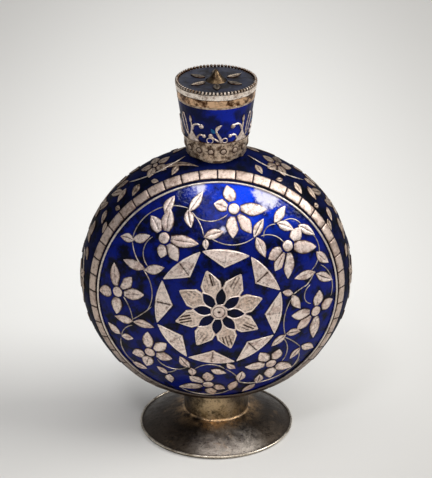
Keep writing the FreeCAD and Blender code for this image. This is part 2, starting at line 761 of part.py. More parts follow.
def leaf_on_band(root, tip, width):
    start, _ = on_band(*root)
    end, _ = on_band(*tip)
    middle, outward = on_band((root[0] + tip[0]) / 2, (root[1] + tip[1]) / 2)
    return plate(leaf_wire((end - start).Length, width), middle, outward, end - start, val("silver_thickness"))


def band_places():
    """Angles of the flowers on the right of the band, clear of neck and stem, and their spacing."""
    free = 180 - band_clearance("collar_radius") - band_clearance("stem_radius")
    each = round(val("scroll_repeats")) // 2
    top = 90 - band_clearance("collar_radius")
    return [top - (index + 0.5) * free / each for index in range(each)], free / each


def band_clearance(alias):
    """Half the angle that the collar or the stem takes up."""
    return math.degrees(math.asin(val(alias) / val("body_radius")))


def side_scroll():
    """Flowers, leaf pairs and wires that wander round the band."""
    petals, leaves, vines = [], [], []
    angles, pitch = band_places()
    per_degree = math.radians(1) * val("body_radius")
    thick = val("wire_width") / 2
    lean = math.radians(SIDE_LEAF_LEAN)
    for index, angle in enumerate(angles):
        side = (-1) ** (index + 1)
        sway = val("side_sway") * side
        for turn in range(SIDE_PETALS):
            way = math.radians(360 / SIDE_PETALS * turn + SIDE_FIRST_PETAL)
            near, far = val("flower_eye") / 2, val("side_petal")
            root = (angle + near * math.cos(way) / per_degree, sway + near * math.sin(way))
            tip = (angle + far * math.cos(way) / per_degree, sway + far * math.sin(way))
            petals.append(leaf_on_band(root, tip, SIDE_PETAL_FILL * val("flower_eye")))
        for way in (-1, 1):
            reach, length = val("side_petal") + val("side_stalk"), val("side_leaf")
            root = (angle + way * reach / per_degree, -sway * SIDE_LEAF_START)
            level, rise = length * math.cos(lean), length * math.sin(lean)
            tip = (root[0] + way * level / per_degree, root[1] - side * rise)
            leaves.append(leaf_on_band(root, tip, val("side_leaf_width")))
        places = [(angle + pitch * share, sway * rise) for share, rise in SIDE_VINE]
        stations = [on_band(*place, above=thick)[0] for place in places]
        dip = thick - lowest_over_band(Part.Arc(*stations))
        stations = [on_band(*place, above=thick + dip)[0] for place in places]
        vines.extend(laid_wires(stations, thick, petals + leaves))
    for name, shapes in (("petals", petals), ("leaves", leaves), ("vines", vines)):
        left = [shape.mirror(Vector(0, 0, 0), Vector(1, 0, 0)) for shape in shapes]
        lay_on("side", 0, name, shapes + left)


# ---------------------------------------------------------------- neck
def neck():
    """Collar, neck tube with its wire thread, and the pierced plate in its mouth."""
    core = body_core("collar_saddle")
    ring = cylinder("collar_ring", ref("collar_radius"), "Fits.collar_top - Fits.body_centre_height")
    ring.setExpression("Placement.Base.z", ref("body_centre_height"))
    bore = cylinder("collar_bore", ref("neck_hole"), "Fits.collar_top")
    keep(cut("neck_collar", cut("collar_on_saddle", ring, core), bore))

    tube = cylinder("neck_outside", ref("neck_radius"), ref("neck_length"))
    tube.setExpression("Placement.Base.z", ref("neck_foot"))
    inside = cylinder("neck_inside", ref("neck_bore"), ref("neck_mouth"))
    keep(cut("neck_tube", tube, inside))

    disc = cylinder("plate_disc", ref("neck_bore"), ref("plate_thickness"))
    disc.setExpression("Placement.Base.z", ref("plate_low"))
    holes = [cylinder("fill_hole", ref("plate_fill_hole"), ref("neck_mouth"))]
    count = round(val("plate_drips"))
    for index in range(count):
        hole = cylinder(f"drip_hole_{index}", ref("plate_drip_hole"), ref("neck_mouth"))
        angle = 360 * index / count
        hole.setExpression("Placement.Base.x", f"Sizes.plate_drip_circle * cos({angle} deg)")
        hole.setExpression("Placement.Base.y", f"Sizes.plate_drip_circle * sin({angle} deg)")
        holes.append(hole)
    fused = doc.addObject("Part::MultiFuse", "plate_holes")
    fused.Shapes = holes
    keep(cut("sprinkler_plate", disc, fused))


def thread(label, radius, low, turns, inward):
    """A half-round wire wound in a screw line, standing out from or into a wall of that radius."""
    helix = doc.addObject("Part::Helix", label + "_line")
    bind(helix, Radius=ref(radius), Pitch=ref("thread_lead"), Height=f"Sizes.thread_lead * {ref(turns)}")
    wall, wire = val(radius), val("thread_wire")
    way = -1 if inward else 1
    start = Vector(wall, 0, wire)
    crest = Vector(wall + way * wire, 0, 0)
    profile = doc.addObject("Part::Feature", label + "_profile")
    profile.Shape = Part.Wire([
        Part.Arc(Vector(wall, 0, -wire), crest, start).toShape(),
        Part.makeLine(start, Vector(wall, 0, -wire)),
    ])
    sweep = doc.addObject("Part::Sweep", label)
    sweep.Sections = [profile]
    sweep.Spine = (helix, [])
    sweep.Solid = True
    sweep.Frenet = True
    sweep.setExpression("Placement.Base.z", ref(low))
    return keep(sweep)


# ---------------------------------------------------------------- cap
def cone_radius(level, inset):
    """An alias for the cap's radius at a level, less an inset, kept in the fits sheet."""
    alias = f"cone_{level}_{inset}"
    if alias not in FITS:
        formula = f"Sizes.cap_bottom_radius + ({ref(level)} - cap_foot) * cap_slope - {ref(inset)}"
        row = len(FITS) + 1
        FITS[alias] = formula.replace("Fits.", "")
        fits.set(f"A{row}", alias)
        fits.set(f"B{row}", "=" + FITS[alias])
        fits.setAlias(f"B{row}", alias)
        fits.recompute()
    return alias


def cone_layer(label, low, high, outer, inner):
    """A tapered ring of the cap between two levels and two insets."""
    corners = [
        (cone_radius(low, outer), low),
        (cone_radius(high, outer), high),
        (cone_radius(high, inner), high),
        (cone_radius(low, inner), low),
    ]
    return keep(turned(label, corners))


def on_cap(degrees, height, above=0.0):
    """A point of the cap's side at an angle and a height above its foot, and its outward way."""
    slope = val("cap_slope")
    reach = val("cap_bottom_radius") + height * slope - val("cap_enamel_recess")
    round_way = Vector(math.cos(math.radians(degrees)), math.sin(math.radians(degrees)), 0)
    outward = (round_way - Vector(0, 0, 1) * slope).normalize()
    return round_way * reach + Vector(0, 0, val("cap_foot") + height) + outward * above, outward


def cap_bosses():
    """Round bosses on the cap's base band."""
    count = round(val("boss_count"))
    disc = disc_wire(val("boss_radius"))
    shapes = []
    for index in range(count):
        angle = 360 * (index + 0.5) / count - 90
        place, outward = on_cap(angle, val("base_band_height") / 2, val("cap_enamel_recess"))
        shapes.append(plate(disc, place, outward, Vector(0, 0, 1), val("boss_rise")))
    return shapes


def cap_sprays():
    """Mounds of silver with curled tendrils and a bud between them, round the cap's enamel."""
    shapes = []
    count = round(val("spray_count"))
    foot = val("base_band_height")
    thick = val("silver_thickness")
    size = val("spray_radius")
    for index in range(count):
        middle = 360 * index / count - 90 + 180 / count
        reach = val("cap_bottom_radius") + foot * val("cap_slope")
        per_mm = math.degrees(1 / reach)
        for aside, height, length, width, tilt in SPRAY:
            place, outward = on_cap(middle + aside * size * per_mm, foot + height * size)
            along = Vector(0, 0, 1) - outward.cross(Vector(0, 0, 1)) * tilt
            shapes.append(plate(leaf_wire(length * size, width * size), place, outward, along, thick))
    return shapes


def cap():
    """The screw cap: a silver cone, its bands and enamel, the decorated top and the threaded sleeve."""
    keep(turned("cap_wall", [
        (cone_radius("cap_foot", "cap_skin"), "cap_foot"),
        (cone_radius("top_plate_low", "cap_skin"), "top_plate_low"),
        (cone_radius("top_plate_low", "cap_depth"), "top_plate_low"),
        (cone_radius("cap_foot", "cap_depth"), "cap_foot"),
    ]))
    cone_layer("cap_base_band", "cap_foot", "base_band_top", "cap_band_inset", "cap_skin")
    cone_layer("cap_side_enamel", "base_band_top", "cap_wire_low", "cap_enamel_recess", "cap_skin")
    cone_layer("cap_wire_band", "cap_wire_low", "neck_band_low", "cap_band_inset", "cap_skin")
    cone_layer("cap_lower_band", "neck_band_low", "neck_band_top", "cap_enamel_recess", "cap_skin")
    cone_layer("cap_rim_band", "rim_band_low", "top_plate_low", "cap_band_inset", "cap_skin")
    keep(group("cap_bosses", cap_bosses()))
    keep(group("cap_sprays", cap_sprays()))

    keep(turned("cap_top_plate", [
        ("axis", "top_plate_low"),
        (cone_radius("top_plate_low", "cap_band_inset"), "top_plate_low"),
        (cone_radius("cap_top", "cap_band_inset"), "cap_top"),
        ("axis", "cap_top"),
    ]))
    keep(turned("cap_top_enamel", [
        ("finial_radius", "cap_top"),
        ("top_enamel_radius", "cap_top"),
        ("top_enamel_radius", "top_enamel_high"),
        ("finial_radius", "top_enamel_high"),
    ]))
    keep(group("cap_bead_edge", bead_edge()))
    keep(group("cap_top_petals", top_petals()))
    keep(turned("cap_finial", [
        ("axis", "cap_top"),
        ("finial_radius", "cap_top"),
        ("finial_waist", "finial_shoulder"),
        ("finial_tip", "finial_ball", ("axis", "finial_ball", "finial_tip")),
        ("axis", "finial_top"),
    ]))
    keep(turned("cap_sleeve", [
        ("sleeve_bore", "cap_flange_low"),
        (cone_radius("cap_flange_low", "cap_depth"), "cap_flange_low"),
        (cone_radius("cap_flange_high", "cap_depth"), "cap_flange_high"),
        ("sleeve_outer", "cap_flange_high"),
        ("sleeve_outer", "sleeve_top"),
        ("axis", "sleeve_top"),
        ("axis", "sleeve_roof"),
        ("sleeve_bore", "sleeve_roof"),
    ]))
    cork = cylinder("cap_cork", ref("cork_radius"), ref("cork_thickness"))
    cork.setExpression("Placement.Base.z", ref("cork_low"))
    keep(cork)


def bead_edge():
    """A ring of beads round the cap's top edge."""
    count = round(val("bead_count"))
    radius = val("bead_radius")
    ring = val("bead_ring")
    seat = val("bead_seat_share")
    cut_off = -math.degrees(math.asin(seat))
    beads = []
    for index in range(count):
        angle = 2 * math.pi * index / count
        centre = Vector(ring * math.cos(angle), ring * math.sin(angle), val("cap_top") + radius * seat)
        beads.append(Part.makeSphere(radius, centre, Vector(0, 0, 1), cut_off, 90, 360))
    return beads


def top_petals():
    """Raised leaves round the finial."""
    count = round(val("top_petals"))
    shapes = []
    for index in range(count):
        angle = math.radians(360 * (index + 0.5) / count)
        way = Vector(math.cos(angle), math.sin(angle), 0)
        reach = val("finial_radius") + val("top_petal_gap") + val("top_petal_length") / 2
        place = way * reach + Vector(0, 0, val("top_enamel_high"))
        wire = leaf_wire(val("top_petal_length"), val("top_petal_width"))
        shapes.append(plate(wire, place, Vector(0, 0, 1), way, val("top_petal_rise")))
    return shapes


# ---------------------------------------------------------------- stem and foot
def foot():
    """The short stem and the low spreading foot, beaten from sheet, with a wire round its rim."""
    outside = cylinder("stem_outside", ref("stem_radius"), ref("stem_length"))
    outside.setExpression("Placement.Base.z", ref("foot_height"))
    inside = cylinder("stem_inside", ref("stem_bore"), ref("stem_top"))
    hollow = cut("stem_hollow", outside, inside)
    keep(cut("stem", hollow, body_core("stem_saddle")))

    keep(turned("foot", [
        ("stem_bore", "foot_height"),
        ("stem_radius", "foot_height"),
        ("foot_shoulder", "foot_brim"),
        ("foot_radius", "foot_edge"),
        ("foot_radius", "ground"),
        ("foot_inner", "ground"),
        ("foot_shoulder_in", "foot_brim_in"),
        ("stem_bore", "foot_top_inner"),
    ]))
    wire = doc.addObject("Part::Torus", "foot_rim_wire")
    bind(wire, Radius1="Sizes.foot_radius + Sizes.rim_wire_radius", Radius2=ref("rim_wire_radius"))
    wire.setExpression("Placement.Base.z", "Sizes.foot_edge")
    keep(wire)


# ---------------------------------------------------------------- the assembly
face_shell("front", 180)
face_shell("back", 0)
side_band()
face_enamel("front", 180)
face_enamel("back", 0)
side_enamel()
neck()
thread("neck_thread", "neck_radius", "neck_thread_low", "neck_thread_turns", inward=False)
cap()
thread("cap_thread", "sleeve_bore", "cap_thread_low", "cap_thread_turns", inward=True)
foot()

sheet_layer = dome_layer(val("silver_thickness"))
for side, about in (("front", 0), ("back", 180)):
    seam_wire(side, about)
petals, eyes, leaves = flower_petals(), flower_eyes(), face_leaves()
FACE_SILVER = {
    "ring_tiles": ring_tiles(),
    "star_segments": star_segments(sheet_layer),
    "rosette_petals": rosette_petals(sheet_layer),
    "rosette_wires": rosette_wires(sheet_layer),
    "rosette_hub": rosette_hub(sheet_layer),
    "flower_petals": petals,
    "flower_eyes": eyes,
    "leaves": leaves,
    "vines": face_vines(petals + eyes + leaves),
}
for name, shapes in FACE_SILVER.items():
    for side, about in (("front", 0), ("back", 180)):
        lay_on(side, about, name, shapes)
side_scroll()

# ---------------------------------------------------------------- checks and files
doc.recompute()
for obj in doc.Objects:
    if "Invalid" in obj.State or "Error" in obj.State:
        raise RuntimeError(f"{obj.Label} failed: {obj.State}")
for node in NODES:
    if node.Shape.isNull() or not node.Shape.isValid():
        raise RuntimeError(f"{node.Label} has no sound shape")

os.makedirs("parts", exist_ok=True)
for node in NODES:
    node.Shape.exportStep(os.path.join("parts", node.Label + ".step"))
    print(f"{node.Label:18s} solids {len(node.Shape.Solids):3d}  volume {node.Shape.Volume:9.2f}")
print(len(NODES), "nodes")
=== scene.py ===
"""The looks of a silver and blue enamel rosewater sprinkler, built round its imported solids.
Lengths inside the builders are millimetres from the middle of the foot's underside; +Z is up and the
front face looks along -Y. Objects are made in metres."""

import math
import random

import bpy
import bmesh
from mathutils import Matrix, Vector


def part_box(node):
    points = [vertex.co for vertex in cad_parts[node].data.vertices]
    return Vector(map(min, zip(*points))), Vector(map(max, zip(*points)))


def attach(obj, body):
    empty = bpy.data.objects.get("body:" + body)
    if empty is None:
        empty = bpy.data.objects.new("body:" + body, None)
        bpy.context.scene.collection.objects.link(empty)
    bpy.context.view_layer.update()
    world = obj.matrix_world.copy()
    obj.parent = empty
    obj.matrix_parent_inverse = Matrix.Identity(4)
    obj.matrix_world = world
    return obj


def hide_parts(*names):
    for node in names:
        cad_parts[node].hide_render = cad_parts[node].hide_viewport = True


bl_info = {
    "name": "Rosewater sprinkler",
    "version": (1, 0, 0),
    "blender": (4, 5, 0),
    "location": "View3D > Sidebar > Sprinkler",
    "description": "Builds the looks of an enamelled silver rosewater sprinkler",
    "category": "Object",
}

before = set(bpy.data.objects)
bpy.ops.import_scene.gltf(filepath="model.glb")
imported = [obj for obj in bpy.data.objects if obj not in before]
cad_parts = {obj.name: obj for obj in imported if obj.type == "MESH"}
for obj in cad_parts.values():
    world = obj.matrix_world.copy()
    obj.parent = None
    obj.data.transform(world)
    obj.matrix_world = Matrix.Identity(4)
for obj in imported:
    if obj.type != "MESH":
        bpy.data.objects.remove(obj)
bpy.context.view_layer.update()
MM = 0.001


# ---------------------------------------------------------------- settings
def length(label, text, millimetres):
    """A length that a user can change."""
    return bpy.props.FloatProperty(
        name=label, description=text, default=millimetres * MM, min=0.0, unit="LENGTH", precision=5
    )


def linear(code):
    """An sRGB hex colour as linear red, green, blue and alpha."""
    parts = [int(code[i:i + 2], 16) / 255 for i in (1, 3, 5)]
    return tuple(c / 12.92 if c <= 0.04045 else ((c + 0.055) / 1.055) ** 2.4 for c in parts) + (1.0,)


def colour(label, text, code):
    """A colour that a user can change."""
    return bpy.props.FloatVectorProperty(
        name=label, description=text, default=linear(code), size=4, min=0.0, max=1.0, subtype="COLOR"
    )


class FlaskSizes(bpy.types.PropertyGroup):
    """Sizes of the flask's body, the same as in the solids."""

    centre_height: length("Centre height", "Height of the flask's centre", 54.2)
    half_depth: length("Half depth", "From the centre to the middle of a face", 27.7)
    dome_radius: length("Dome radius", "Radius of each face's dome", 55.07)
    band_ring: length("Band ring", "Radius of the circle that the band's round follows", 25.0)
    band_radius: length("Band radius", "Radius of the band's round", 18.0)
    seam_radius: length("Seam radius", "Radius of the seam between dome and band", 37.14)


class PatternSizes(bpy.types.PropertyGroup):
    """Sizes of the silver on the enamel."""

    star: length("Star radius", "Radius of the medallion's circle", 19.7)
    star_valley: length("Star valley", "Radius of the star's inner corners", 14.0)
    rosette_valley: length("Rosette valley", "Radius of the corners between petals", 8.3)
    hub: length("Hub radius", "Radius of the rosette's hub", 2.6)
    almond: length("Almond width", "Width of a dark almond cell with its wire", 3.5)
    rise: length("Silver rise", "Height of the silver over the enamel", 0.3)
    wire: length("Wire width", "Width of the wires in the enamel", 0.42)
    petal: length("Petal width", "Width of a flower's petal", 4.1)
    leaf: length("Leaf width", "Width of a leaf", 3.2)
    eye: length("Eye radius", "Radius of a flower's eye", 1.85)
    tile: length("Tile length", "Length of a border tile across the border", 3.4)


class CapSizes(bpy.types.PropertyGroup):
    """Sizes of the cap."""

    foot: length("Cap foot", "Height of the cap's lower edge", 96.8)
    bottom: length("Bottom radius", "Radius at the lower edge", 9.4)
    top: length("Top radius", "Radius at the upper edge", 12.7)
    height: length("Cap height", "From the lower edge to the top plate", 22.6)
    base_band: length("Base band", "Height of the band with bosses", 6.3)
    boss: length("Boss radius", "Radius of a boss on the base band", 1.05)


class FinishColours(bpy.types.PropertyGroup):
    """Colours of the metals and the enamel."""

    enamel_dark: colour("Dark enamel", "Cobalt enamel where it is thick", "#010314")
    enamel: colour("Enamel", "Cobalt enamel over most of the faces", "#021264")
    # Painted light: this bright blue is painted where the enamel faces a lamp, standing for the silver under
    # it shining through.
    enamel_painted_light: colour("Lit enamel", "Cobalt enamel where the silver shines through", "#0440ec")
    silver: colour("Chased silver", "Warm chased silver", "#e4cdc1")
    silver_light: colour("Bright silver", "Rubbed edges and wires", "#f8e8de")
    patina: colour("Patina", "Brown tarnish in the grooves", "#38241c")
    foot_dark: colour("Oxidised silver", "Dark oxidised silver of the foot", "#52483e")
    foot_gold: colour("Warm wear", "Brown-gold wear on the oxidised silver", "#d8b284")
    copper: colour("Copper band", "Copper showing on the cap's lower band", "#dfb994")
    floor: colour("Floor", "Pale floor", "#f2f1ec")


# ---------------------------------------------------------------- the pattern
# Places are (hundredths of the field's radius, degrees counter-clockwise from +X).
# A flower is its centre and its petals, each (length in hundredths, turn from the outward way).
FLOWERS = [
    ((74, 127), [(17, 358), (21, 308), (27, 228), (19, 176), (15, 133)]),
    ((83, 81), [(16, 28), (26, 273), (22, 226), (20, 186), (16, 86)]),
    ((76, 41), [(15, 6), (24, 304), (25, 229), (20, 198), (17, 164)]),
    ((83, -9), [(18, 90), (15, 31), (26, 276), (20, 228), (20, 184)]),
    ((74, -53), [(16, 119), (20, 23), (18, 323), (21, 233), (17, 176)]),
    ((81, -96), [(16, 190), (15, 71), (16, 22), (24, 291), (18, 243)]),
    ((74, -141), [(21, 235), (18, 184), (18, 130), (17, 42), (15, 343)]),
    ((84, 175), [(23, 281), (19, 238), (21, 192), (20, 92), (15, 20)]),
]
LEAVES = [
    ((88, 143), (96, 146)), ((88, 142), (82, 134)), ((70, 152), (85, 155)), ((68, 152), (58, 142)),
    ((74, -167), (87, -169)), ((72, -166), (58, -161)), ((89, -158), (95, -164)), ((88, -156), (80, -154)),
    ((82, -122), (81, -129)), ((82, -120), (90, -116)), ((63, -113), (57, -124)), ((64, -111), (72, -108)),
    ((84, 106), (94, 98)), ((84, 107), (73, 108)), ((63, 100), (66, 87)), ((61, 100), (54, 101)),
    ((89, 119), (96, 112)), ((68, 64), (81, 63)), ((67, 62), (59, 50)), ((84, 56), (96, 55)),
    ((84, 54), (87, 45)), ((92, 43), (96, 34)), ((91, 25), (96, 17)), ((83, 16), (68, 19)),
    ((85, 14), (96, 7)), ((62, 9), (55, 13)), ((62, 7), (68, -4)), ((63, -28), (59, -40)),
    ((64, -26), (74, -23)), ((84, -35), (84, -43)), ((85, -33), (96, -33)), ((78, -77), (68, -73)),
    ((79, -79), (90, -83)), ((89, -68), (80, -64)), ((90, -70), (96, -77)), ((61, -77), (54, -82)),
    ((61, -95), (65, -85)), ((96, -138), (91, -132)),
]
VINES = [
    ((90, 141), (94, 126), (87, 108)), ((86, 145), (79, 149), (71, 152)), ((67, 154), (57, 165), (58, -179)),
    ((58, -178), (64, -173), (71, -169)), ((71, 148), (78, 142), (80, 135)),
    ((77, 179), (74, -176), (73, -170)), ((78, -163), (83, -161), (87, -158)),
    ((92, -153), (96, -144), (95, -137)), ((75, -131), (74, -123), (66, -115)),
    ((80, -122), (77, -120.5), (73.5, -119.5)), ((61, -107), (55, -98), (58, -87)),
    ((63, -82), (68, -79), (75, -77)), ((82, -76), (86, -72), (88, -69)), ((90, -67), (94, -55), (94, -44)),
    ((85, -37), (91, -41), (93, -44)), ((67, -30), (73, -31), (81, -33)), ((66, -32), (74, -38), (79, -45)),
    ((59, 2), (56, -11), (61, -25)), ((66, 9), (70, 10), (73.5, 10.6)), ((76, 11.3), (79, 13), (82, 15)),
    ((75, 8.6), (72, 4), (75, -2)), ((85, 19), (94, 26), (95, 36)), ((87, 52), (92, 49), (94, 44)),
    ((92, 16), (96, 9), (96, 0)), ((72, 58), (75, 53), (76, 46)), ((73, 59), (77, 59), (81, 57)),
    ((61, 95), (57, 78), (64, 66)), ((80, 104), (74, 102), (67, 101)), ((78, 103), (74, 96), (77, 86)),
    ((83, -79), (95, -89), (95, -108)),
]
# The band's scroll in millimetres: each petal's start and end from the flower's middle and its width,
# each leaf's start from the flower's level with its length and width, how far flowers stand aside, and
# what stays bare beside the collar and the stem.
SIDE_FLOWERS = 5
SIDE_PETAL = (1.3, 5.2, 3.3)
SIDE_LEAF = (6.0, 6.0, 2.9)
SIDE_SWAY = 2.6
SIDE_BARE = (7.9, 10.5)
# More leaves on the band's right front, mirrored to all four quarters: root and tip as (degrees round
# the band, millimetres aside), width and bend.
SIDE_EXTRAS = [
    ((55.0, -7.2), (50.0, -9.6), 2.7, 0.2), ((48.5, -5.0), (42.5, -7.2), 2.7, 0.2),
    ((50.5, -2.0), (44.0, -1.0), 2.5, 0.2), ((38.0, -3.4), (32.5, -1.4), 2.5, 0.2),
    ((36.0, -5.5), (30.5, -7.6), 2.6, 0.2), ((28.0, -3.0), (22.5, -5.0), 2.6, 0.2),
    ((73.5, -7.0), (70.0, -9.8), 2.3, 0.2), ((79.0, -2.4), (81.5, -4.4), 1.6, 0.2),
    ((60.5, -8.6), (63.5, -10.0), 1.8, 0.0), ((40.5, -8.2), (42.0, -10.0), 2.0, 0.0),
    ((33.0, -9.0), (28.0, -10.2), 2.0, 0.0), ((17.0, -5.5), (12.0, -7.5), 2.6, 0.2),
]
ROSETTE_TURN = 15.6  # degrees from +X to the first petal
POINTS = 8
TILES = 44
BOSSES = 16
SPRAYS = 4
# The foot's outline as (radius, height) in millimetres: the smooth upper side, then the underside.
FOOT_TOP = [
    (10.45, 6.9), (10.9, 6.15), (12.4, 5.7), (15.2, 4.95), (18.8, 3.7), (21.6, 2.35), (23.5, 1.25),
    (24.2, 0.9),
]
FOOT_UNDER = [(24.2, 0.0), (23.3, 0.0), (18.44, 2.8), (9.65, 5.0), (9.65, 6.9)]
# Each light: name, azimuth from the front towards the right, elevation, distance and size in metres,
# power in watts, and colour.
LIGHTS = [
    ("window_right", 82, 38, 1.6, (1.0, 0.6), 19.0, "#ffffff"),
    ("front_softbox", 8, 38, 1.8, (1.0, 0.7), 7.0, "#fff8f2"),
    ("window_top_left", -22, 54, 1.6, (0.3, 0.2), 3.5, "#f4f6ff"),
    ("overhead_softbox", 10, 80, 1.5, (1.4, 1.4), 9.0, "#ffffff"),
]
LIT_PLACE = Vector((0, 0, 0.07))
# The camera: azimuth and elevation, distance and aim in metres, and the lens in millimetres.
CAMERA_TURN = (-1.8, 24.97)
CAMERA_AWAY = 0.70835
CAMERA_AIM = Vector((-0.00005, 0, 0.06607))
CAMERA_LENS = 168.73
FLOOR_REACH = 8.0


# ---------------------------------------------------------------- mesh building
class Mesh:
    """Gathers points, faces and each point's relief: 0 in a groove or at an edge, 1 on top, and over 1
    on a rubbed rim. The silver paints low relief brown, partly as painted shade, and relief over 1 as
    a painted highlight."""

    def __init__(self):
        self.points, self.faces, self.relief = [], [], []

    def rings(self, rows, closed=False):
        """Skins rows of points. Each row is a closed ring of (point, relief). Open rows get end faces."""
        first, count = len(self.points), len(rows[0])
        for row in rows:
            for point, relief in row:
                self.points.append(point * MM)
                self.relief.append(relief)
        spans = len(rows) if closed else len(rows) - 1
        for i in range(spans):
            a, b = first + i * count, first + (i + 1) % len(rows) * count
            for j in range(count):
                k = (j + 1) % count
                self.faces.append((a + j, a + k, b + k, b + j))
        if not closed:
            last = first + (len(rows) - 1) * count
            self.faces.append(tuple(range(first, first + count)))
            self.faces.append(tuple(range(last, last + count)))

    def made(self, name, material, body, *nodes, slot=None, sharp=40):
        """Turns what was gathered into a piece that rides on a body and stands for its nodes."""
        data = bpy.data.meshes.new(name)
        data.from_pydata(self.points, [], self.faces)
        data.attributes.new("relief", "FLOAT", "POINT").data.foreach_set("value", self.relief)
        solid = bmesh.new()
        solid.from_mesh(data)
        bmesh.ops.recalc_face_normals(solid, faces=solid.faces)
        solid.to_mesh(data)
        solid.free()
        data.shade_smooth()
        data.set_sharp_from_angle(angle=math.radians(sharp))
        data.materials.append(material)
        piece = bpy.data.objects.new(name, data)
        bpy.context.scene.collection.objects.link(piece)
        return placed(piece, body, nodes, slot)


def placed(piece, body, nodes, slot):
    """Lets a piece ride on a body and stand for nodes. The slot is not used."""
    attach(piece, body)
    if nodes:
        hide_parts(*nodes)
    return piece


def turned_copy(piece, name, body, *nodes, slot=None):
    """The same mesh, turned half round the upright axis, for the back."""
    copy = bpy.data.objects.new(name, piece.data.copy())
    copy.data.transform(Matrix.Rotation(math.pi, 4, "Z"))
    bpy.context.scene.collection.objects.link(copy)
    return placed(copy, body, nodes, slot)


def finish_nodes(key, *names):
    """Gives CAD nodes the material of that name."""
    for name in names:
        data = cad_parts[name].data
        data.materials.clear()
        data.materials.append(material(key))


def mm(value):
    """A length in metres as millimetres."""
    return value / MM


def polar(radius, degrees):
    """The flat place at a distance and an angle."""
    return radius * math.cos(math.radians(degrees)), radius * math.sin(math.radians(degrees))


def upright(degrees):
    """The way out from the flask's centre in the plane of its faces."""
    x, z = polar(1.0, degrees)
    return Vector((x, 0, z))


def level(degrees):
    """The way out from the upright axis."""
    return Vector((*polar(1.0, degrees), 0))


def facing_way(azimuth, elevation):
    """The way to a lamp or camera: degrees from the front towards the right, and degrees up."""
    az, el = math.radians(azimuth), math.radians(elevation)
    return Vector((math.sin(az) * math.cos(el), -math.cos(az) * math.cos(el), math.sin(el)))


# ---------------------------------------------------------------- surfaces to lay silver on
# Each surface has lay, which brings a point to it and raises it, and most have at, which finds the place
# of a plan point and raises it.
class Dome:
    """The front face. Plan points are (x, z) in millimetres from the flask's centre."""

    def __init__(self):
        sizes = bpy.context.scene.sprinkler_flask
        self.radius, self.up = mm(sizes.dome_radius), mm(sizes.centre_height)
        self.centre = Vector((0, self.radius - mm(sizes.half_depth), self.up))
        self.field = mm(sizes.seam_radius)

    def lay(self, point, rise):
        way = (point - self.centre).normalized()
        return self.centre + way * (self.radius + rise)

    def at(self, x, z, rise=0.0):
        depth = math.sqrt(self.radius ** 2 - x * x - z * z)
        return self.lay(self.centre + Vector((x, -depth, z)), rise)

    def place(self, spot):
        """The place of a (hundredths of the field's radius, degrees) pair."""
        share, degrees = spot
        return self.at(*polar(share / 100 * self.field, degrees))


class Band:
    """The rounded band. Plan points are (degrees round it from +X, millimetres aside along +Y)."""

    def __init__(self):
        sizes = bpy.context.scene.sprinkler_flask
        self.radius, self.ring = mm(sizes.band_radius), mm(sizes.band_ring)
        self.up = mm(sizes.centre_height)
        self.per_degree = math.radians(1) * (self.ring + self.radius)

    def lay(self, point, rise):
        flat = Vector((point.x, 0, point.z - self.up)).normalized()
        core = flat * self.ring + Vector((0, 0, self.up))
        return core + (point - core).normalized() * (self.radius + rise)

    def at(self, degrees, aside, rise=0.0):
        return self.leant(degrees, aside / self.radius, rise)

    def leant(self, degrees, lean, rise=0.0):
        """The place whose outward way leans from the middle towards +Y by an angle in radians."""
        flat = upright(degrees)
        out = flat * math.cos(lean) + Vector((0, 1, 0)) * math.sin(lean)
        return flat * self.ring + Vector((0, 0, self.up)) + out * (self.radius + rise)


class Cone:
    """The cap's side. Plan points are (degrees round it from +X, millimetres above its foot)."""

    def __init__(self, inset=0.1):
        sizes = bpy.context.scene.sprinkler_cap
        self.foot, self.bottom = mm(sizes.foot), mm(sizes.bottom) - inset
        self.slope = (sizes.top - sizes.bottom) / sizes.height

    def reach(self, height):
        """The radius at a height above the cap's foot."""
        return self.bottom + height * self.slope

    def lay(self, point, rise):
        flat = Vector((point.x, point.y, 0)).normalized()
        out = (flat - Vector((0, 0, self.slope))).normalized()
        return flat * self.reach(point.z - self.foot) + Vector((0, 0, point.z)) + out * rise

    def at(self, degrees, height, rise=0.0):
        return self.lay(level(degrees) + Vector((0, 0, self.foot + height)), rise)


class Plate:
    """A level surface."""

    def __init__(self, level):
        self.level = level

    def lay(self, point, rise):
        return Vector((point.x, point.y, self.level + rise))


# ---------------------------------------------------------------- silver shapes
# Where a section is measured, from -1 at one edge of a piece to 1 at the other.
ACROSS = (-1.0, -0.93, -0.8, -0.5, -0.2, -0.07, 0.0, 0.07, 0.2, 0.5, 0.8, 0.93, 1.0)
FINE = tuple(i / 14 for i in range(-14, 15))
SINK = 0.12  # millimetres that each piece reaches into the enamel
WIRE_SIDES = 8
# Outlines as (share of the length, share of the width).
PETAL = (
    (0, 0.62), (0.15, 0.84), (0.35, 1.0), (0.5, 0.98), (0.68, 0.8), (0.84, 0.5), (0.95, 0.2), (1, 0.03))
LEAF = (
    (0, 0.05), (0.08, 0.36), (0.25, 0.82), (0.42, 1.0), (0.6, 0.93), (0.8, 0.58), (0.93, 0.24), (1, 0.03))
BLADE = ((0, 0.05), (0.1, 0.5), (0.3, 0.95), (0.45, 1.0), (0.65, 0.8), (0.85, 0.4), (1, 0.03))


def bell(x, middle, width):
    """1 at the middle, falling softly to 0 on both sides."""
    return math.exp(-((x - middle) / width) ** 2)


def chased(rise, groove=0.0, dish=0.0):
    """Height and relief across a chased piece: a rounded edge, a dished or full middle, a midline."""

    def section(along, t):
        edge = max(0.0, 1 - abs(t) ** 4)
        line = groove * bell(t, 0, 0.11) * (0.1 < along < 0.86)
        height = rise * (0.45 + 0.55 * edge) * (1 - dish * (1 - t * t)) - line * rise
        # The relief falls at the edges and near the root beside the eye, where the silver paints shade, and
        # along the midline, where it paints tarnish in the groove.
        relief = min(0.97, 0.15 + 0.95 * edge) - 1.5 * line - 0.3 * bell(along, 0, 0.14)
        return height, max(0.0, relief)

    return section


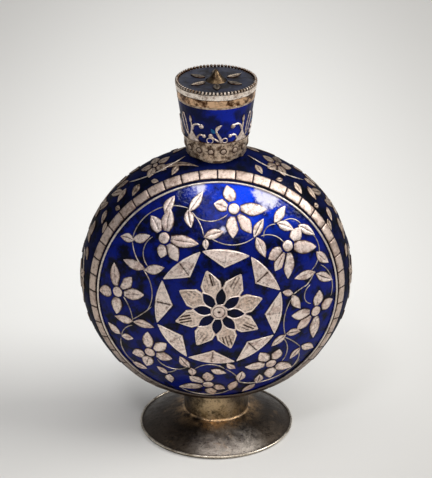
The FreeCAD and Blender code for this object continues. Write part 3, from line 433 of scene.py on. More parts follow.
def strip(mesh, surface, stations, section, marks=ACROSS):
    """A closed piece along stations of (middle, way across, half width, share along)."""
    rows = []
    for middle, across, half, along in stations:
        ring = [(surface.lay(middle - across * half, -SINK), 0.0)]
        for t in marks:
            height, relief = section(along, t)
            ring.append((surface.lay(middle + across * (t * half), height), relief))
        ring.append((surface.lay(middle + across * half, -SINK), 0.0))
        rows.append(ring)
    mesh.rings(rows)


def leaf(mesh, surface, root, tip, width, section, shape=LEAF, bend=0.0, room=None):
    """A leaf or petal between two places. Room, for a petal, is the eye's radius and the angles to
    the middles of the gaps on both sides."""
    along = tip - root
    middle = (root + tip) / 2
    outward = (surface.lay(middle, 1.0) - surface.lay(middle, 0.0)).normalized()
    across = outward.cross(along).normalized()
    stations = []
    for share, wide in smooth(shape, 3):
        left = right = width / 2 * wide
        if room:
            reach = room[0] + along.length * share
            left, right = (
                max(0.04, min(left, reach * math.tan(math.radians(min(80, turn))) - 0.09))
                for turn in room[1:]
            )
        centre = root + along * share + across * (bend * 4 * share * (1 - share) + (left - right) / 2)
        stations.append((centre, across, (left + right) / 2, share))
    strip(mesh, surface, stations, section)


def circle(centre, side, up, radius, sides, relief):
    """A row of points round a centre."""
    turns = (2 * math.pi * j / sides for j in range(sides))
    return [(centre + (side * math.cos(a) + up * math.sin(a)) * radius, relief) for a in turns]


def wire(mesh, path, radius, closed=False, taper=1.0):
    """A round wire along a path of points. Open ends are drawn thinner, and taper is the far end's
    share of the radius."""
    rows = []
    count = len(path)
    for i, point in enumerate(path):
        before = path[i - 1] if closed or i else point
        after = path[(i + 1) % count] if closed or i + 1 < count else point
        way = (after - before).normalized()
        side = way.cross(Vector((0.13, 0.27, 0.95))).normalized()
        edge = 1.0 if closed else min(1.0, 0.35 + 0.65 * min(i, count - 1 - i) / 2)
        here = radius * edge * (1 + (taper - 1) * i / count)
        rows.append(circle(point, side, side.cross(way), here, WIRE_SIDES, 1.0))
    mesh.rings(rows, closed)


def spun(mesh, origin, axis, profile, sides=24, closed=False):
    """A piece turned about an axis from (radius, height, relief) points. Open profiles get end faces."""
    axis = axis.normalized()
    side = axis.orthogonal().normalized()
    up = axis.cross(side)
    mesh.rings([
        circle(origin + axis * height, side, up, radius, sides, relief) for radius, height, relief in profile
    ], closed)


def arc_through(first, middle, last, count, extra=0.0):
    """Points on the circle through three points, from the first to the last and extra past both."""
    a, b = first - last, middle - last
    normal = a.cross(b)
    toward = (b * a.length_squared - a * b.length_squared).cross(normal)
    centre = last + toward / (2 * normal.length_squared)
    x_way = (first - centre).normalized()
    y_way = normal.normalized().cross(x_way)

    def turn(point):
        return math.atan2((point - centre).dot(y_way), (point - centre).dot(x_way)) % (2 * math.pi)

    sweep = turn(last)
    if turn(middle) > sweep:
        sweep -= 2 * math.pi
    radius = (first - centre).length
    more = math.copysign(extra / radius, sweep)
    angles = [-more + (sweep + 2 * more) * i / count for i in range(count + 1)]
    return [centre + (x_way * math.cos(a) + y_way * math.sin(a)) * radius for a in angles]


def smooth(points, steps=6):
    """A line that passes smoothly through all the points."""
    out = []
    count = len(points)
    for i in range(count - 1):
        p0, p1, p2, p3 = (points[max(0, min(count - 1, i + k))] for k in (-1, 0, 1, 2))
        for j in range(steps):
            t = j / steps
            out.append(tuple(
                b + t / 2 * (c - a + t * (2 * a - 5 * b + 4 * c - d + t * (3 * b - a - 3 * c + d)))
                for a, b, c, d in zip(p0, p1, p2, p3)
            ))
    out.append(tuple(points[-1]))
    return out


# ---------------------------------------------------------------- materials
# Every pattern's size is millimetres on the object. Scratches, dents and pits are really 0.05 to 0.2 mm
# wide and wouldn't show from here, so they are drawn 0.35 to 1.2 mm wide.
SOFT = {"interpolation_type": "SMOOTHSTEP"}
FULL_COLOUR = {"data_type": "RGBA"}


def add(tree, kind, inputs=None, **settings):
    """Adds a shader node with its settings. Each input, by name or number, is set, or linked to a
    socket or to a node's first output."""
    node = tree.nodes.new("ShaderNode" + kind)
    for name, value in settings.items():
        setattr(node, name, value)
    for key, value in (inputs or {}).items():
        if isinstance(value, bpy.types.Node):
            value = value.outputs[0]
        if isinstance(value, bpy.types.NodeSocket):
            tree.links.new(value, node.inputs[key])
        else:
            node.inputs[key].default_value = value
    return node


def tone(value):
    """A colour from its hex code, or from its name among the finish settings."""
    return linear(value) if value.startswith("#") else getattr(bpy.context.scene.sprinkler_finish, value)


def blank(name):
    """An empty material, its tree, and its object coordinates in metres."""
    made = bpy.data.materials.new(name)
    made.use_nodes = True
    made.node_tree.nodes.clear()
    return made, made.node_tree, add(made.node_tree, "TexCoord").outputs["Object"]


def blobs(place, size, detail=4.0, rough=0.6):
    """What noise needs for blobs about size millimetres across."""
    return {"Vector": place, "Scale": 1 / (size * MM), "Detail": detail, "Roughness": rough}


def patches(tree, place, size, low, high, first=0.0, last=1.0, detail=4.0, rough=0.6):
    """A value in patches of that size, from first to last where the noise goes from low to high."""
    noise = add(tree, "TexNoise", blobs(place, size, detail, rough))
    return add(tree, "MapRange", {0: noise, 1: low, 2: high, 3: first, 4: last}, **SOFT)


def covered(tree, base, over, value, low, high, first=0.0, last=1.0):
    """A colour covered by another, from first to last where a value goes from low to high."""
    share = add(tree, "MapRange", {0: value, 1: low, 2: high, 3: first, 4: last}, **SOFT)
    return add(tree, "Mix", {0: share, 6: base, 7: over}, **FULL_COLOUR).outputs[2]


def spotted(tree, place, base, over, size, low, high, most=1.0, detail=4.0, rough=0.6):
    """A colour covered by another in patches of that size."""
    noise = add(tree, "TexNoise", blobs(place, size, detail, rough))
    return covered(tree, base, over, noise, low, high, 0.0, most)


def surfaced(tree, inputs):
    """Ends a material in a surface with those inputs."""
    add(tree, "OutputMaterial", {"Surface": add(tree, "BsdfPrincipled", inputs)})


def worked_metal(tree, place, metal, wear, smoothest, roughest, dents, strength, depth, detail=4.0):
    """Ends a metal: its roughness drifts in patches of the wear's size, over dents given as noise."""
    rough = patches(tree, place, wear, 0.3, 0.7, smoothest, roughest, detail)
    bump = {"Strength": strength, "Distance": depth * MM, "Height": add(tree, "TexNoise", dents)}
    surfaced(tree, {
        "Base Color": metal, "Metallic": 1.0, "Roughness": rough, "Normal": add(tree, "Bump", bump),
    })


def enamel(name, dark, main, painted_lit, glow, painted_light_low, painted_light_high, coat=0.2, roughness=0.4, painted_reflections=(), core=0.0):
    """Fired translucent cobalt enamel over engraved silver: near black where it is thick, with a strong
    blue painted in patches where the surface faces the glow way, a painted light that stands for the
    silver under it shining, under a clear wavy gloss. Glow is the way from which that painted light
    falls. Painted reflections are pale ragged gleams of a window painted into the colour, each (x, y, z,
    radius) in millimetres, and the small cells inside the core radius round the middle of a face are
    filled thick and dark."""
    made, tree, place = blank(name)
    dark, main, painted_lit = tone(dark), tone(main), tone(painted_lit)
    normal = add(tree, "NewGeometry").outputs["Normal"]
    to_light = {0: normal, 1: Vector(glow).normalized()}
    # Painted light: the colour turns to the bright blue where the surface faces the glow way.
    painted_light_facing = add(tree, "VectorMath", to_light, operation="DOT_PRODUCT").outputs["Value"]
    turned = add(tree, "MapRange", {0: painted_light_facing, 1: painted_light_low, 2: painted_light_high}, **SOFT)
    painted_light_clouds = patches(tree, place, 9.0, 0.42, 0.6, first=0.05, detail=5.0, rough=0.65)
    light = add(tree, "Math", {0: turned, 1: painted_light_clouds}, operation="MULTIPLY")
    base = spotted(tree, place, dark, main, 5.0, 0.38, 0.6, detail=5.0, rough=0.65)
    base = add(tree, "Mix", {0: light, 6: base, 7: painted_lit}, **FULL_COLOUR).outputs[2]
    if core:
        middle = (0.0, 0.0, bpy.context.scene.sprinkler_flask.centre_height)
        aside = add(tree, "VectorMath", {0: place, 1: middle}, operation="SUBTRACT")
        flat = add(tree, "VectorMath", {0: aside, 1: (1.0, 0.0, 1.0)}, operation="MULTIPLY")
        reach = add(tree, "VectorMath", {0: flat}, operation="LENGTH").outputs["Value"]
        base = covered(tree, base, dark, reach, (core - 1) * MM, (core + 1) * MM, 0.8, 0.0)
    # Painted reflections of a window: pale gleams laid into the colour round each given spot.
    for x, y, z, radius in painted_reflections:
        spot = {0: place, 1: Vector((x, y, z)) * MM}
        away = add(tree, "VectorMath", spot, operation="DISTANCE").outputs["Value"]
        noise = add(tree, "TexNoise", blobs(place, 3.5, 5.0, 0.7))
        ragged = add(tree, "Math", {0: noise, 1: 2.4 * radius * MM}, operation="MULTIPLY")
        edge = add(tree, "Math", {0: away, 1: ragged}, operation="ADD")
        base = covered(tree, base, linear("#e2e0f6"), edge, 1.5 * radius * MM, 2.0 * radius * MM, 0.9, 0.0)
    base = spotted(tree, place, base, dark, 0.5, 0.6, 0.72, most=0.6, detail=3.0)
    base = spotted(tree, place, base, linear("#2850b0"), 0.35, 0.66, 0.76, most=0.2, detail=2.0)
    ripples = add(tree, "TexNoise", blobs(place, 5.0))
    waves = add(tree, "Bump", {"Strength": 0.8, "Distance": 0.5 * MM, "Height": ripples})
    holes = add(tree, "TexNoise", blobs(place, 0.6, 3.0))
    pits = add(tree, "Bump", {"Strength": 0.15, "Distance": 0.1 * MM, "Height": holes, "Normal": waves})
    surfaced(tree, {
        "Base Color": base, "Roughness": roughness, "IOR": 1.52, "Specular IOR Level": 0.03,
        "Coat Weight": coat, "Coat Roughness": 0.03, "Coat IOR": 1.52, "Normal": pits, "Coat Normal": pits,
    })
    return made


def silver(name, main, light, stain, stain_colour, roughness=0.44, spread=0.5, relief_tarnish_and_painted_light=True,
           darker_below=0.0):
    """Chased silver: warm grey metal, brown tarnish in the grooves, brown along the edges and at the
    petals' roots that is partly tarnish and partly painted shade, a bright colour on raised rims that is
    partly rubbed wear and partly a painted highlight, blotches of stain, and the fine dents and
    scratches of the chasing tool. Given a height below which it darkens, it is darker towards the
    bottom: dark brown up to a third of that height in millimetres, and its own colour from that height
    up."""
    made, tree, place = blank(name)
    patina = tone("patina")
    island = add(tree, "NewGeometry").outputs["Random Per Island"]
    own = add(tree, "Math", {0: island, 1: 0.3}, operation="MULTIPLY")
    drift = add(tree, "TexNoise", blobs(place, 2.0, 6.0, 0.7))
    shade = add(tree, "Math", {0: drift, 1: own}, operation="ADD")
    metal = covered(tree, tone(main), tone(light), shade, 0.35, 0.75)
    metal = spotted(
        tree, place, metal, linear(stain_colour), 2.2, spread, spread + 0.16, stain, detail=7.0, rough=0.75)
    metal = spotted(tree, place, metal, patina, 0.7, 0.55, 0.68, most=0.5, detail=5.0, rough=0.75)
    if relief_tarnish_and_painted_light:
        # Brown where the relief is low: tarnish in the grooves, and painted shade along the edges and at the
        # petals' roots.
        relief = add(tree, "Attribute", attribute_name="relief").outputs["Fac"]
        uneven = patches(tree, place, 0.8, 0.3, 0.7, 0.7, 1.15, detail=3.0)
        blurred = add(tree, "Math", {0: relief, 1: uneven}, operation="MULTIPLY")
        metal = covered(tree, metal, patina, blurred, 0.25, 0.9, 1.0, 0.0)
        # Painted highlight with rubbed wear: a bright colour where the relief goes over 1 on raised rims.
        metal = covered(tree, metal, linear("#fff4ea"), relief, 0.98, 1.25, 0.0, 0.8)
    # Darker towards the bottom: dark brown up to a third of the given height, fading to the metal's own
    # colour at that height.
    if darker_below:
        height = add(tree, "SeparateXYZ", {0: place}).outputs["Z"]
        clean = darker_below * MM
        metal = covered(tree, metal, linear("#2c1e18"), height, clean / 3, clean, 0.94, 0.0)
    dents = blobs(place, 0.4, 6.0, 0.75)
    worked_metal(tree, place, metal, 1.2, roughness - 0.08, roughness + 0.14, dents, 0.5, 0.16)
    return made


def plain_metal(name, main, other, patch=3.0, roughness=0.3, grain=0.5, bump=0.12, low=0.4, high=0.7):
    """Smooth worked metal: one tone drifting to another in soft patches, with fine scratches."""
    made, tree, place = blank(name)
    metal = spotted(tree, place, tone(main), tone(other), patch, low, high, detail=6.0, rough=0.65)
    worked_metal(tree, place, metal, 1.0, roughness - 0.06, roughness + 0.12, blobs(place, grain), bump, 0.1)
    return made


def beads(name, main):
    """A row of silver beads: a painted highlight where they face up or out, and painted shade in the
    patina's brown in the gaps between them.
    """
    made, tree, place = blank(name)
    normal = add(tree, "NewGeometry").outputs["Normal"]
    flat = add(tree, "VectorMath", {0: place, 1: (1.0, 1.0, 0.0)}, operation="MULTIPLY")
    radial = add(tree, "VectorMath", {0: flat}, operation="NORMALIZE")
    out = add(tree, "VectorMath", {0: normal, 1: radial}, operation="DOT_PRODUCT").outputs["Value"]
    up = add(tree, "SeparateXYZ", {0: normal}).outputs["Z"]
    painted_light_facing = add(tree, "Math", {0: out, 1: up}, operation="MAXIMUM")
    # Painted light and shade: bright where the surface faces up or out, patina brown where it faces sideways
    # into the gaps.
    metal = covered(tree, tone("patina"), tone(main), painted_light_facing, 0.6, 0.92)
    metal = spotted(tree, place, metal, linear("#5a4430"), 4.0, 0.45, 0.62, most=0.8, detail=5.0, rough=0.7)
    surfaced(tree, {"Base Color": metal, "Metallic": 1.0, "Roughness": 0.3})
    return made


def foot_metal(name, dark, gold, low, high, bare, spot, reach, blotched):
    """Oxidised silver: dark brown grey, rubbed to a brown gold between two heights in millimetres and
    in small patches, with a painted highlight in the bare colour within reach of a spot, blotched,
    pitted and softly scratched."""
    made, tree, place = blank(name)
    height = add(tree, "SeparateXYZ", {0: place}).outputs["Z"]
    worn = add(tree, "MapRange", {0: height, 1: low * MM, 2: high * MM}, **SOFT)
    patch = patches(tree, place, 3.5, 0.34, 0.62, detail=6.0, rough=0.7)
    few = patches(tree, place, 6.0, 0.58, 0.74, last=0.35, detail=6.0, rough=0.7)
    # Painted highlight: the bare colour laid round the spot, where a lamp shines on the metal.
    away = add(tree, "VectorMath", {0: place, 1: Vector(spot) * MM}, operation="DISTANCE").outputs["Value"]
    noise = add(tree, "TexNoise", blobs(place, 4.0, 6.0, 0.7))
    ragged = add(tree, "Math", {0: noise, 1: reach / 2 * MM}, operation="MULTIPLY")
    edge = add(tree, "Math", {0: away, 1: ragged}, operation="SUBTRACT")
    metal = covered(tree, tone(dark), linear(bare), edge, 1.0 * MM, reach * MM, 0.9, 0.0)
    rubbed = add(tree, "Math", {0: worn, 1: patch}, operation="MULTIPLY")
    rubbed = add(tree, "Math", {0: rubbed, 1: few}, operation="MAXIMUM")
    metal = add(tree, "Mix", {0: rubbed, 6: metal, 7: tone(gold)}, **FULL_COLOUR).outputs[2]
    pits = patches(tree, place, 0.6, 0.53, 0.66, last=0.8, detail=5.0, rough=0.7)
    blotches = patches(tree, place, 5.0, 0.46, 0.64, last=blotched, detail=8.0, rough=0.75)
    black = add(tree, "Math", {0: pits, 1: blotches}, operation="MAXIMUM")
    metal = add(tree, "Mix", {0: black, 6: metal, 7: linear("#191512")}, **FULL_COLOUR).outputs[2]
    worked_metal(tree, place, metal, 2.0, 0.32, 0.5, blobs(place, 1.1, 6.0, 0.7), 0.35, 0.2, detail=5.0)
    return made


def cork(name):
    """Cut cork: a dull light brown with darker pores."""
    made, tree, place = blank(name)
    pores = patches(tree, place, 0.8, 0.5, 0.66)
    base = add(tree, "Mix", {0: pores, 6: linear("#b58a5c"), 7: linear("#6b452a")}, **FULL_COLOUR)
    bump = add(tree, "Bump", {"Strength": 0.5, "Distance": 0.2 * MM, "Height": pores})
    surfaced(tree, {"Base Color": base.outputs[2], "Roughness": 0.85, "Normal": bump})
    return made


def floor_paper(name, main, edge, middle=(-0.008, 0.13), lean=0.05, sideways=8.0, forward=5.0, back=2.3):
    """Matt paper with painted light: pale at its middle, which is a place in metres, and painted greyer
    away from it as shade. Sideways, forward and back say how fast it darkens per metre, and lean how
    far its pale part slants."""
    made, tree, place = blank(name)
    parts = add(tree, "SeparateXYZ", {0: place})
    behind = add(tree, "Math", {0: parts.outputs["Y"], 1: middle[1]}, operation="SUBTRACT")
    level = add(tree, "Math", {0: parts.outputs["X"], 1: -middle[0]}, operation="ADD")
    slant = add(tree, "Math", {0: behind, 1: lean}, operation="MULTIPLY")
    aside = add(tree, "Math", {0: level, 1: slant}, operation="SUBTRACT")
    depth = add(tree, "Math", {0: behind}, operation="ABSOLUTE")
    both = add(tree, "Math", {0: depth, 1: (forward + back) / 2}, operation="MULTIPLY")
    skewed = add(tree, "Math", {0: behind, 1: (forward - back) / 2}, operation="MULTIPLY")
    deep = add(tree, "Math", {0: both, 1: skewed}, operation="SUBTRACT")
    wide = add(tree, "Math", {0: aside, 1: sideways}, operation="MULTIPLY")
    spot = add(tree, "CombineXYZ", {0: wide, 1: deep})
    reach = add(tree, "VectorMath", {0: spot}, operation="LENGTH").outputs["Value"]
    surfaced(tree, {
        "Base Color": covered(tree, tone(main), linear(edge), reach, 0.1, 1.3),
        "Roughness": 0.9, "Specular IOR Level": 0.1,
    })
    return made


MATERIALS = {
    # Cobalt enamel fired over silver: deep blue with painted light in patches where it faces the lamps, and
    # painted reflections of a window's gleams in it.
    "fired_cobalt_enamel": (enamel, dict(
        dark="enamel_dark", main="enamel", painted_lit="enamel_painted_light", glow=(0.2, -0.64, 0.74), painted_light_low=0.89,
        painted_light_high=0.985, core=7.8,
        painted_reflections=((15.6, -14.4, 86.4, 6.4), (-5.8, -13.0, 90.3, 3.6), (1.5, -22.0, 78.9, 2.0)))),
    # The same enamel, thick and soiled round the band: almost black, with little gloss, and a faint painted
    # light where it faces up.
    "fired_cobalt_side_enamel": (enamel, dict(
        dark="#010308", main="#040a30", painted_lit="#051044", glow=(0, -0.3, 1), painted_light_low=0.8, painted_light_high=1.0,
        coat=0.03, roughness=0.6)),
    # The same enamel, thinner on the cap: a dark blue, painted lighter where it faces the front.
    "fired_cobalt_cap_enamel": (enamel, dict(
        dark="#020a30", main="#041258", painted_lit="#061e90", glow=(0.1, -1, 0), painted_light_low=0.6, painted_light_high=1.0,
        coat=0.15)),
    # Worn enamel on the cap's top: dusty grey blue, painted lighter where it faces up.
    "fired_grey_top_enamel": (enamel, dict(
        dark="#1e1b18", main="#2a2c38", painted_lit="#40424c", glow=(0, 0, 1), painted_light_low=0.2, painted_light_high=1.4)),
    # A touch of turquoise enamel between the sprays: glassy green blue, painted lighter where it faces the
    # front.
    "fired_turquoise_enamel": (enamel, dict(
        dark="#062c50", main="#0a5a8c", painted_lit="#1480a8", glow=(0.1, -1, 0), painted_light_low=0.5, painted_light_high=1.0,
        coat=0.3)),
    # Hand chased silver: a warm pale grey with brown lines, soft stains and bright rubbed rims.
    "chased_silver_relief": (silver, dict(
        main="silver", light="silver_light", stain=0.55, stain_colour="#946a5c", spread=0.47)),
    # The rosette's chased silver: a little browner.
    "chased_silver_rosette": (silver, dict(
        main="#dcc2ae", light="#f4e0d2", stain=0.55, stain_colour="#7a5644")),
    # Chased silver tiles: stained, and darker towards the bottom.
    "chased_silver_tiles": (silver, dict(
        main="#b6a092", light="#dcc8ba", stain=0.7, stain_colour="#6c5040", darker_below=42.0)),
    # Drawn wire round the face, burnished: bright above, and darker towards the bottom.
    "dull_seam_wire": (silver, dict(
        main="#c8b6a4", light="#e8dccf", stain=0.5, stain_colour="#6c5040", roughness=0.34,
        relief_tarnish_and_painted_light=False, darker_below=42.0)),
    # Chased silver that is seldom rubbed: brown grey.
    "tarnished_side_silver": (silver, dict(
        main="#8c7868", light="#c8b4a2", stain=0.7, stain_colour="#4c3628")),
    # Tarnish gathered in a groove: a soft brown line.
    "brown_patina_line": (plain_metal, dict(main="patina", other="#6a5040", patch=1.0, roughness=0.5)),
    # Drawn silver wire: bright, with grey brown lengths.
    "drawn_silver_wire": (plain_metal, dict(
        main="#c8b6a4", other="#7c6655", patch=2.0, roughness=0.34, high=0.62)),
    # A row of stamped beads: painted bright points over painted brown shade in the gaps.
    "beaded_silver_edge": (beads, dict(main="#e4d6c6")),
    # Wire soldered round the cells: bright and uneven.
    "soldered_silver_wire": (plain_metal, dict(
        main="silver_light", other="silver", patch=1.5, roughness=0.34, grain=0.4, bump=0.25)),
    # Thin soldered wire that has aged: a greyer line with dull lengths.
    "aged_silver_wire": (plain_metal, dict(
        main="#c6baac", other="#7e7064", patch=1.6, roughness=0.36, grain=0.4, bump=0.25)),
    # The cap's raised silver, polished by fingers: bright with brown hollows.
    "polished_silver_cap": (silver, dict(
        main="#c8b09a", light="silver_light", stain=0.6, stain_colour="#6a4630", roughness=0.34,
        spread=0.47)),
    # Rubbed silver sheet: mottled light and dark brown.
    "rubbed_silver_band": (silver, dict(
        main="#a88c74", light="#dcc8b2", stain=0.9, stain_colour="#3c2418", roughness=0.34, spread=0.43,
        relief_tarnish_and_painted_light=False)),
    # Polished silver sheet at the cap's rim: the brightest metal, with a few brown stains.
    "polished_silver_band": (silver, dict(
        main="#e2ccb8", light="#fff4e8", stain=0.7, stain_colour="#6a4630", roughness=0.34, spread=0.46,
        relief_tarnish_and_painted_light=False)),
    # Cast leaves on the cap's top, unpolished: dull grey.
    "dull_silver_leaves": (silver, dict(
        main="#7c7064", light="#a89a88", stain=0.6, stain_colour="#4a3828", roughness=0.36)),
    # Beaten silver inside the flask and neck: pale and clean.
    "beaten_silver_inside": (plain_metal, dict(main="#c9c0b4", other="#e6e0d6", patch=4.0, roughness=0.32)),
    # The foot's spun sheet, oxidised: dark, with brown gold wear at the stem and one painted highlight at
    # the front.
    "oxidised_spun_silver_foot": (foot_metal, dict(
        dark="foot_dark", gold="foot_gold", low=4.5, high=6.4, bare="#beb4a8", spot=(3.5, -21.5, 2.0),
        reach=12.0, blotched=0.3)),
    # The stem's cast silver, pitted: blotched brown, with a painted highlight where the light falls.
    "pitted_cast_silver_stem": (foot_metal, dict(
        dark="#524840", gold="#927852", low=14.0, high=6.0, bare="#c8ae88", spot=(-1.5, -10.5, 9.5),
        reach=7.5, blotched=0.85)),
    # Wire round the foot, worn bright on its edge.
    "worn_silver_rim_wire": (plain_metal, dict(main="#d8cdbc", other="#7c6c56")),
    # Rolled copper under worn silvering: pink gold with brown blots.
    "tarnished_copper_band": (plain_metal, dict(
        main="copper", other="#4a2e1c", roughness=0.36, grain=0.4, bump=0.25, low=0.42, high=0.58)),
    # The turned finial, its gilding gone brown: a low dark shine.
    "gilt_brown_finial": (plain_metal, dict(
        main="#5c4c38", other="#2c2018", patch=1.4, roughness=0.34, grain=0.4, bump=0.3, high=0.65)),
    # Cut cork: soft, dull and porous.
    "cut_cork": (cork, dict()),
    # Matt studio paper: pale, with painted shade greyer away from the flask.
    "pale_floor_paper": (floor_paper, dict(main="floor", edge="#c2c0bb")),
}


def material(key):
    """The named material, made once."""
    maker, settings = MATERIALS[key]
    return bpy.data.materials.get(key) or maker(key, **settings)


# ---------------------------------------------------------------- operators
class SPRINKLER_OT_shell(bpy.types.Operator):
    """Gives the silver shells, the enamel and the seam wires their materials"""

    bl_idname = "sprinkler.shell"
    bl_label = "Shells and enamel"

    def execute(self, context):
        finish_nodes("beaten_silver_inside", "front_shell", "back_shell", "side_band")
        finish_nodes("fired_cobalt_enamel", "front_enamel", "back_enamel")
        finish_nodes("fired_cobalt_side_enamel", "side_enamel")
        finish_nodes("dull_seam_wire", "front_seam_wire", "back_seam_wire")
        return {"FINISHED"}


def rimmed(rise, t, rim, inside, cut):
    """Height and relief of a piece with a raised rim of that height and width, a line inside the rim
    and a duller middle, and a cut's depth and darkness."""
    edge = max(0.0, 1 - abs(t) ** 9)
    ridge = rim[0] * bell(abs(t), 0.86, rim[1])
    dull = inside[0] * bell(abs(t), 0.71, 0.05) + inside[1] * (abs(t) < 0.7)
    height = rise * (0.45 + 0.5 * edge + ridge - cut[0])
    # Relief over 1 on the rim's ridge is painted as a highlight with the rim's rubbed wear.
    return height, max(0.0, min(1.0, 0.25 + 0.8 * edge) + 2.5 * ridge - dull - cut[1])


def both_faces(mesh, name, key):
    """Makes a piece of the front's pattern and its copy on the back, for the nodes of that name."""
    front = mesh.made(f"front_{name}_relief", material(key), "flask", f"front_{name}", slot="chased_silver")
    turned_copy(front, f"back_{name}_relief", "flask", f"back_{name}", slot="chased_silver")


class SPRINKLER_OT_medallion(bpy.types.Operator):
    """Builds the star segments, the rosette, its almond wires and its hub on both faces"""

    bl_idname = "sprinkler.medallion"
    bl_label = "Medallion"

    def execute(self, context):
        sizes = context.scene.sprinkler_pattern
        dome = Dome()
        rise, gap = mm(sizes.rise), mm(sizes.wire)
        both_faces(self.stars(dome, sizes, rise, gap), "star_segments", "chased_silver_relief")
        both_faces(self.petals(dome, sizes, rise, gap), "rosette_petals", "chased_silver_rosette")
        both_faces(self.almonds(dome, sizes), "rosette_wires", "soldered_silver_wire")
        both_faces(self.hub(dome, sizes), "rosette_hub", "chased_silver_relief")
        return {"FINISHED"}

    def stars(self, dome, sizes, rise, gap):
        """The segments between the star's points and the medallion's circle."""
        mesh = Mesh()
        outer, valley = mm(sizes.star), mm(sizes.star_valley)
        half = math.radians(180 / POINTS)
        lean = gap / 2 / outer
        low = Vector((valley, 0))
        slope = Vector((outer * math.cos(half), outer * math.sin(half))) - low
        steps, least = 41, 0.12
        for k in range(POINTS):
            turn = math.radians(ROSETTE_TURN + (k + 0.5) * 360 / POINTS)
            stations = []
            for i in range(steps):
                angle = (half - lean) * (-1 + 2 * (i + 0.5) / steps)
                steep = math.tan(abs(angle))
                reach = low.x * slope.y / (slope.y - slope.x * steep)
                inner = min(reach * math.sqrt(1 + steep * steep) + gap * 0.35, outer - least)
                way = Vector((math.cos(turn + angle), math.sin(turn + angle)))
                near, far = dome.at(*(way * inner)), dome.at(*(way * outer))
                across = far - near
                stations.append(((near + far) / 2, across.normalized(), across.length / 2, i / (steps - 1)))
            fold = (0.9, 0.35, 0.7)[k % 3]
            strip(mesh, dome, stations, self.star_section(rise, fold), FINE)
        return mesh

    def star_section(self, rise, fold):
        """A rim, a cut of that force across the middle, and a thin line along the inner side."""

        def section(along, t):
            cut = fold * bell(along, 0.5, 0.022) * (abs(t) < 0.9)
            cut = max(cut, 0.4 * bell(t, -0.5, 0.07) * (0.2 < along < 0.8))
            return rimmed(rise, t, (0.16, 0.1), (0.3, 0.08), (0.5 * cut, 0.75 * cut))

        return section

    def petals(self, dome, sizes, rise, gap):
        """The rosette's pointed petals, cut back round the almond cells."""
        mesh = Mesh()
        valley, tip = mm(sizes.rosette_valley), mm(sizes.star_valley)
        half = math.radians(180 / POINTS)
        corner = valley * math.cos(half)
        inset, steps, thinnest = 0.25, 28, 0.06
        root = mm(sizes.almond) / 2 / math.sin(half) + inset
        widest = corner * math.tan(half) - gap * 0.2
        draw = random.Random(3)
        for k in range(POINTS):
            way = Vector(polar(1.0, ROSETTE_TURN + k * 360 / POINTS))
            side = Vector((-way.y, way.x))
            stations, widths = [], []
            for i in range(steps + 1):
                x = root + (tip - inset - root) * i / steps
                if x < corner:
                    width = self.room_beside_cells(sizes, x, half)
                else:
                    out = (x - corner) / (tip - corner)
                    width = widest * min(1 + 0.15 * out, ((1 - out) / 0.66) ** 0.9)
                middle = dome.at(*(way * x))
                across = (dome.at(*(way * x + side * 0.5)) - middle).normalized()
                widths.append(max(width, thinnest))
                stations.append((middle, across, widths[-1], i / steps))
            force = draw.choice((0.35, 0.7, 1.0))
            lines = [
                (spot + draw.uniform(-0.08, 0.08), force * draw.uniform(0.3, 1.0))
                for spot in (-0.42, -0.1, 0.24)
            ]
            strip(mesh, dome, stations, self.petal_section(rise, lines, widths), FINE)
        return mesh

    def cell_half(self, sizes, x):
        """Half the width of an almond cell at a distance from the hub's middle."""
        valley, bulge = mm(sizes.rosette_valley), mm(sizes.almond) / 2
        beside = x * math.tan(math.pi / POINTS)
        middle = valley * 0.6
        if x <= middle:
            return min(beside, bulge)
        return min(beside, bulge * math.cos(math.pi / 2 * min(1.0, (x - middle) / (valley - middle))))

    def room_beside_cells(self, sizes, x, half):
        """Half the width that is left for a petal between the cells on both its sides."""
        width, step = 0.0, 0.03
        while width < x * math.tan(half):
            along = x * math.cos(half) + width * math.sin(half)
            aside = x * math.sin(half) - width * math.cos(half)
            if aside < self.cell_half(sizes, along):
                break
            width += step
        return width

    def petal_section(self, rise, lines, widths):
        """A raised rim, and engraved strokes side by side, (place across, depth), over the outer half."""

        def section(along, t):
            cut = 0.0
            if 0.45 < along < 0.86 and abs(t) < 0.75:
                aside = t * widths[round(along * (len(widths) - 1))] / max(widths)
                cut = max(depth * bell(aside, spot, 0.07) for spot, depth in lines)
            return rimmed(rise, t, (0.18, 0.08), (0.38, 0.15), (0.4 * cut, 0.9 * cut))

        return section

    def almonds(self, dome, sizes):
        """The wires round the dark almond cells between the petals."""
        mesh = Mesh()
        start, end = mm(sizes.hub) - 0.3, mm(sizes.rosette_valley)
        radius, steps = mm(sizes.wire) * 0.4, 20
        for k in range(POINTS):
            way = Vector(polar(1.0, ROSETTE_TURN + (k + 0.5) * 360 / POINTS))
            side = Vector((-way.y, way.x))
            path = []
            for i in range(2 * steps):
                x = start + (end - start) * abs(i - steps) / steps
                y = math.copysign(max(0.0, self.cell_half(sizes, x) - 0.5 * radius), i - steps)
                path.append(dome.at(*(way * x + side * y), radius if x > mm(sizes.hub) else 0.0))
            wire(mesh, path, radius, closed=True)
        return mesh

    def hub(self, dome, sizes):
        """The round hub: a rim, a groove, and a flat top with a small hole."""
        mesh = Mesh()
        centre = dome.at(0, 0)
        radius = mm(sizes.hub)
        spun(mesh, centre, Vector((0, -1, 0)), [
            (0.05, -SINK, 0), (radius - 0.05, -SINK, 0), (radius, 0.06, 0.1), (radius - 0.14, 0.2, 1),
            (radius * 0.8, 0.25, 1), (radius * 0.7, 0.18, 0.3), (radius * 0.6, 0.22, 1),
            (radius * 0.35, 0.27, 1), (0.42, 0.25, 0.7), (0.3, 0.14, 0), (0.03, 0.1, 0),
        ], 32)
        return mesh


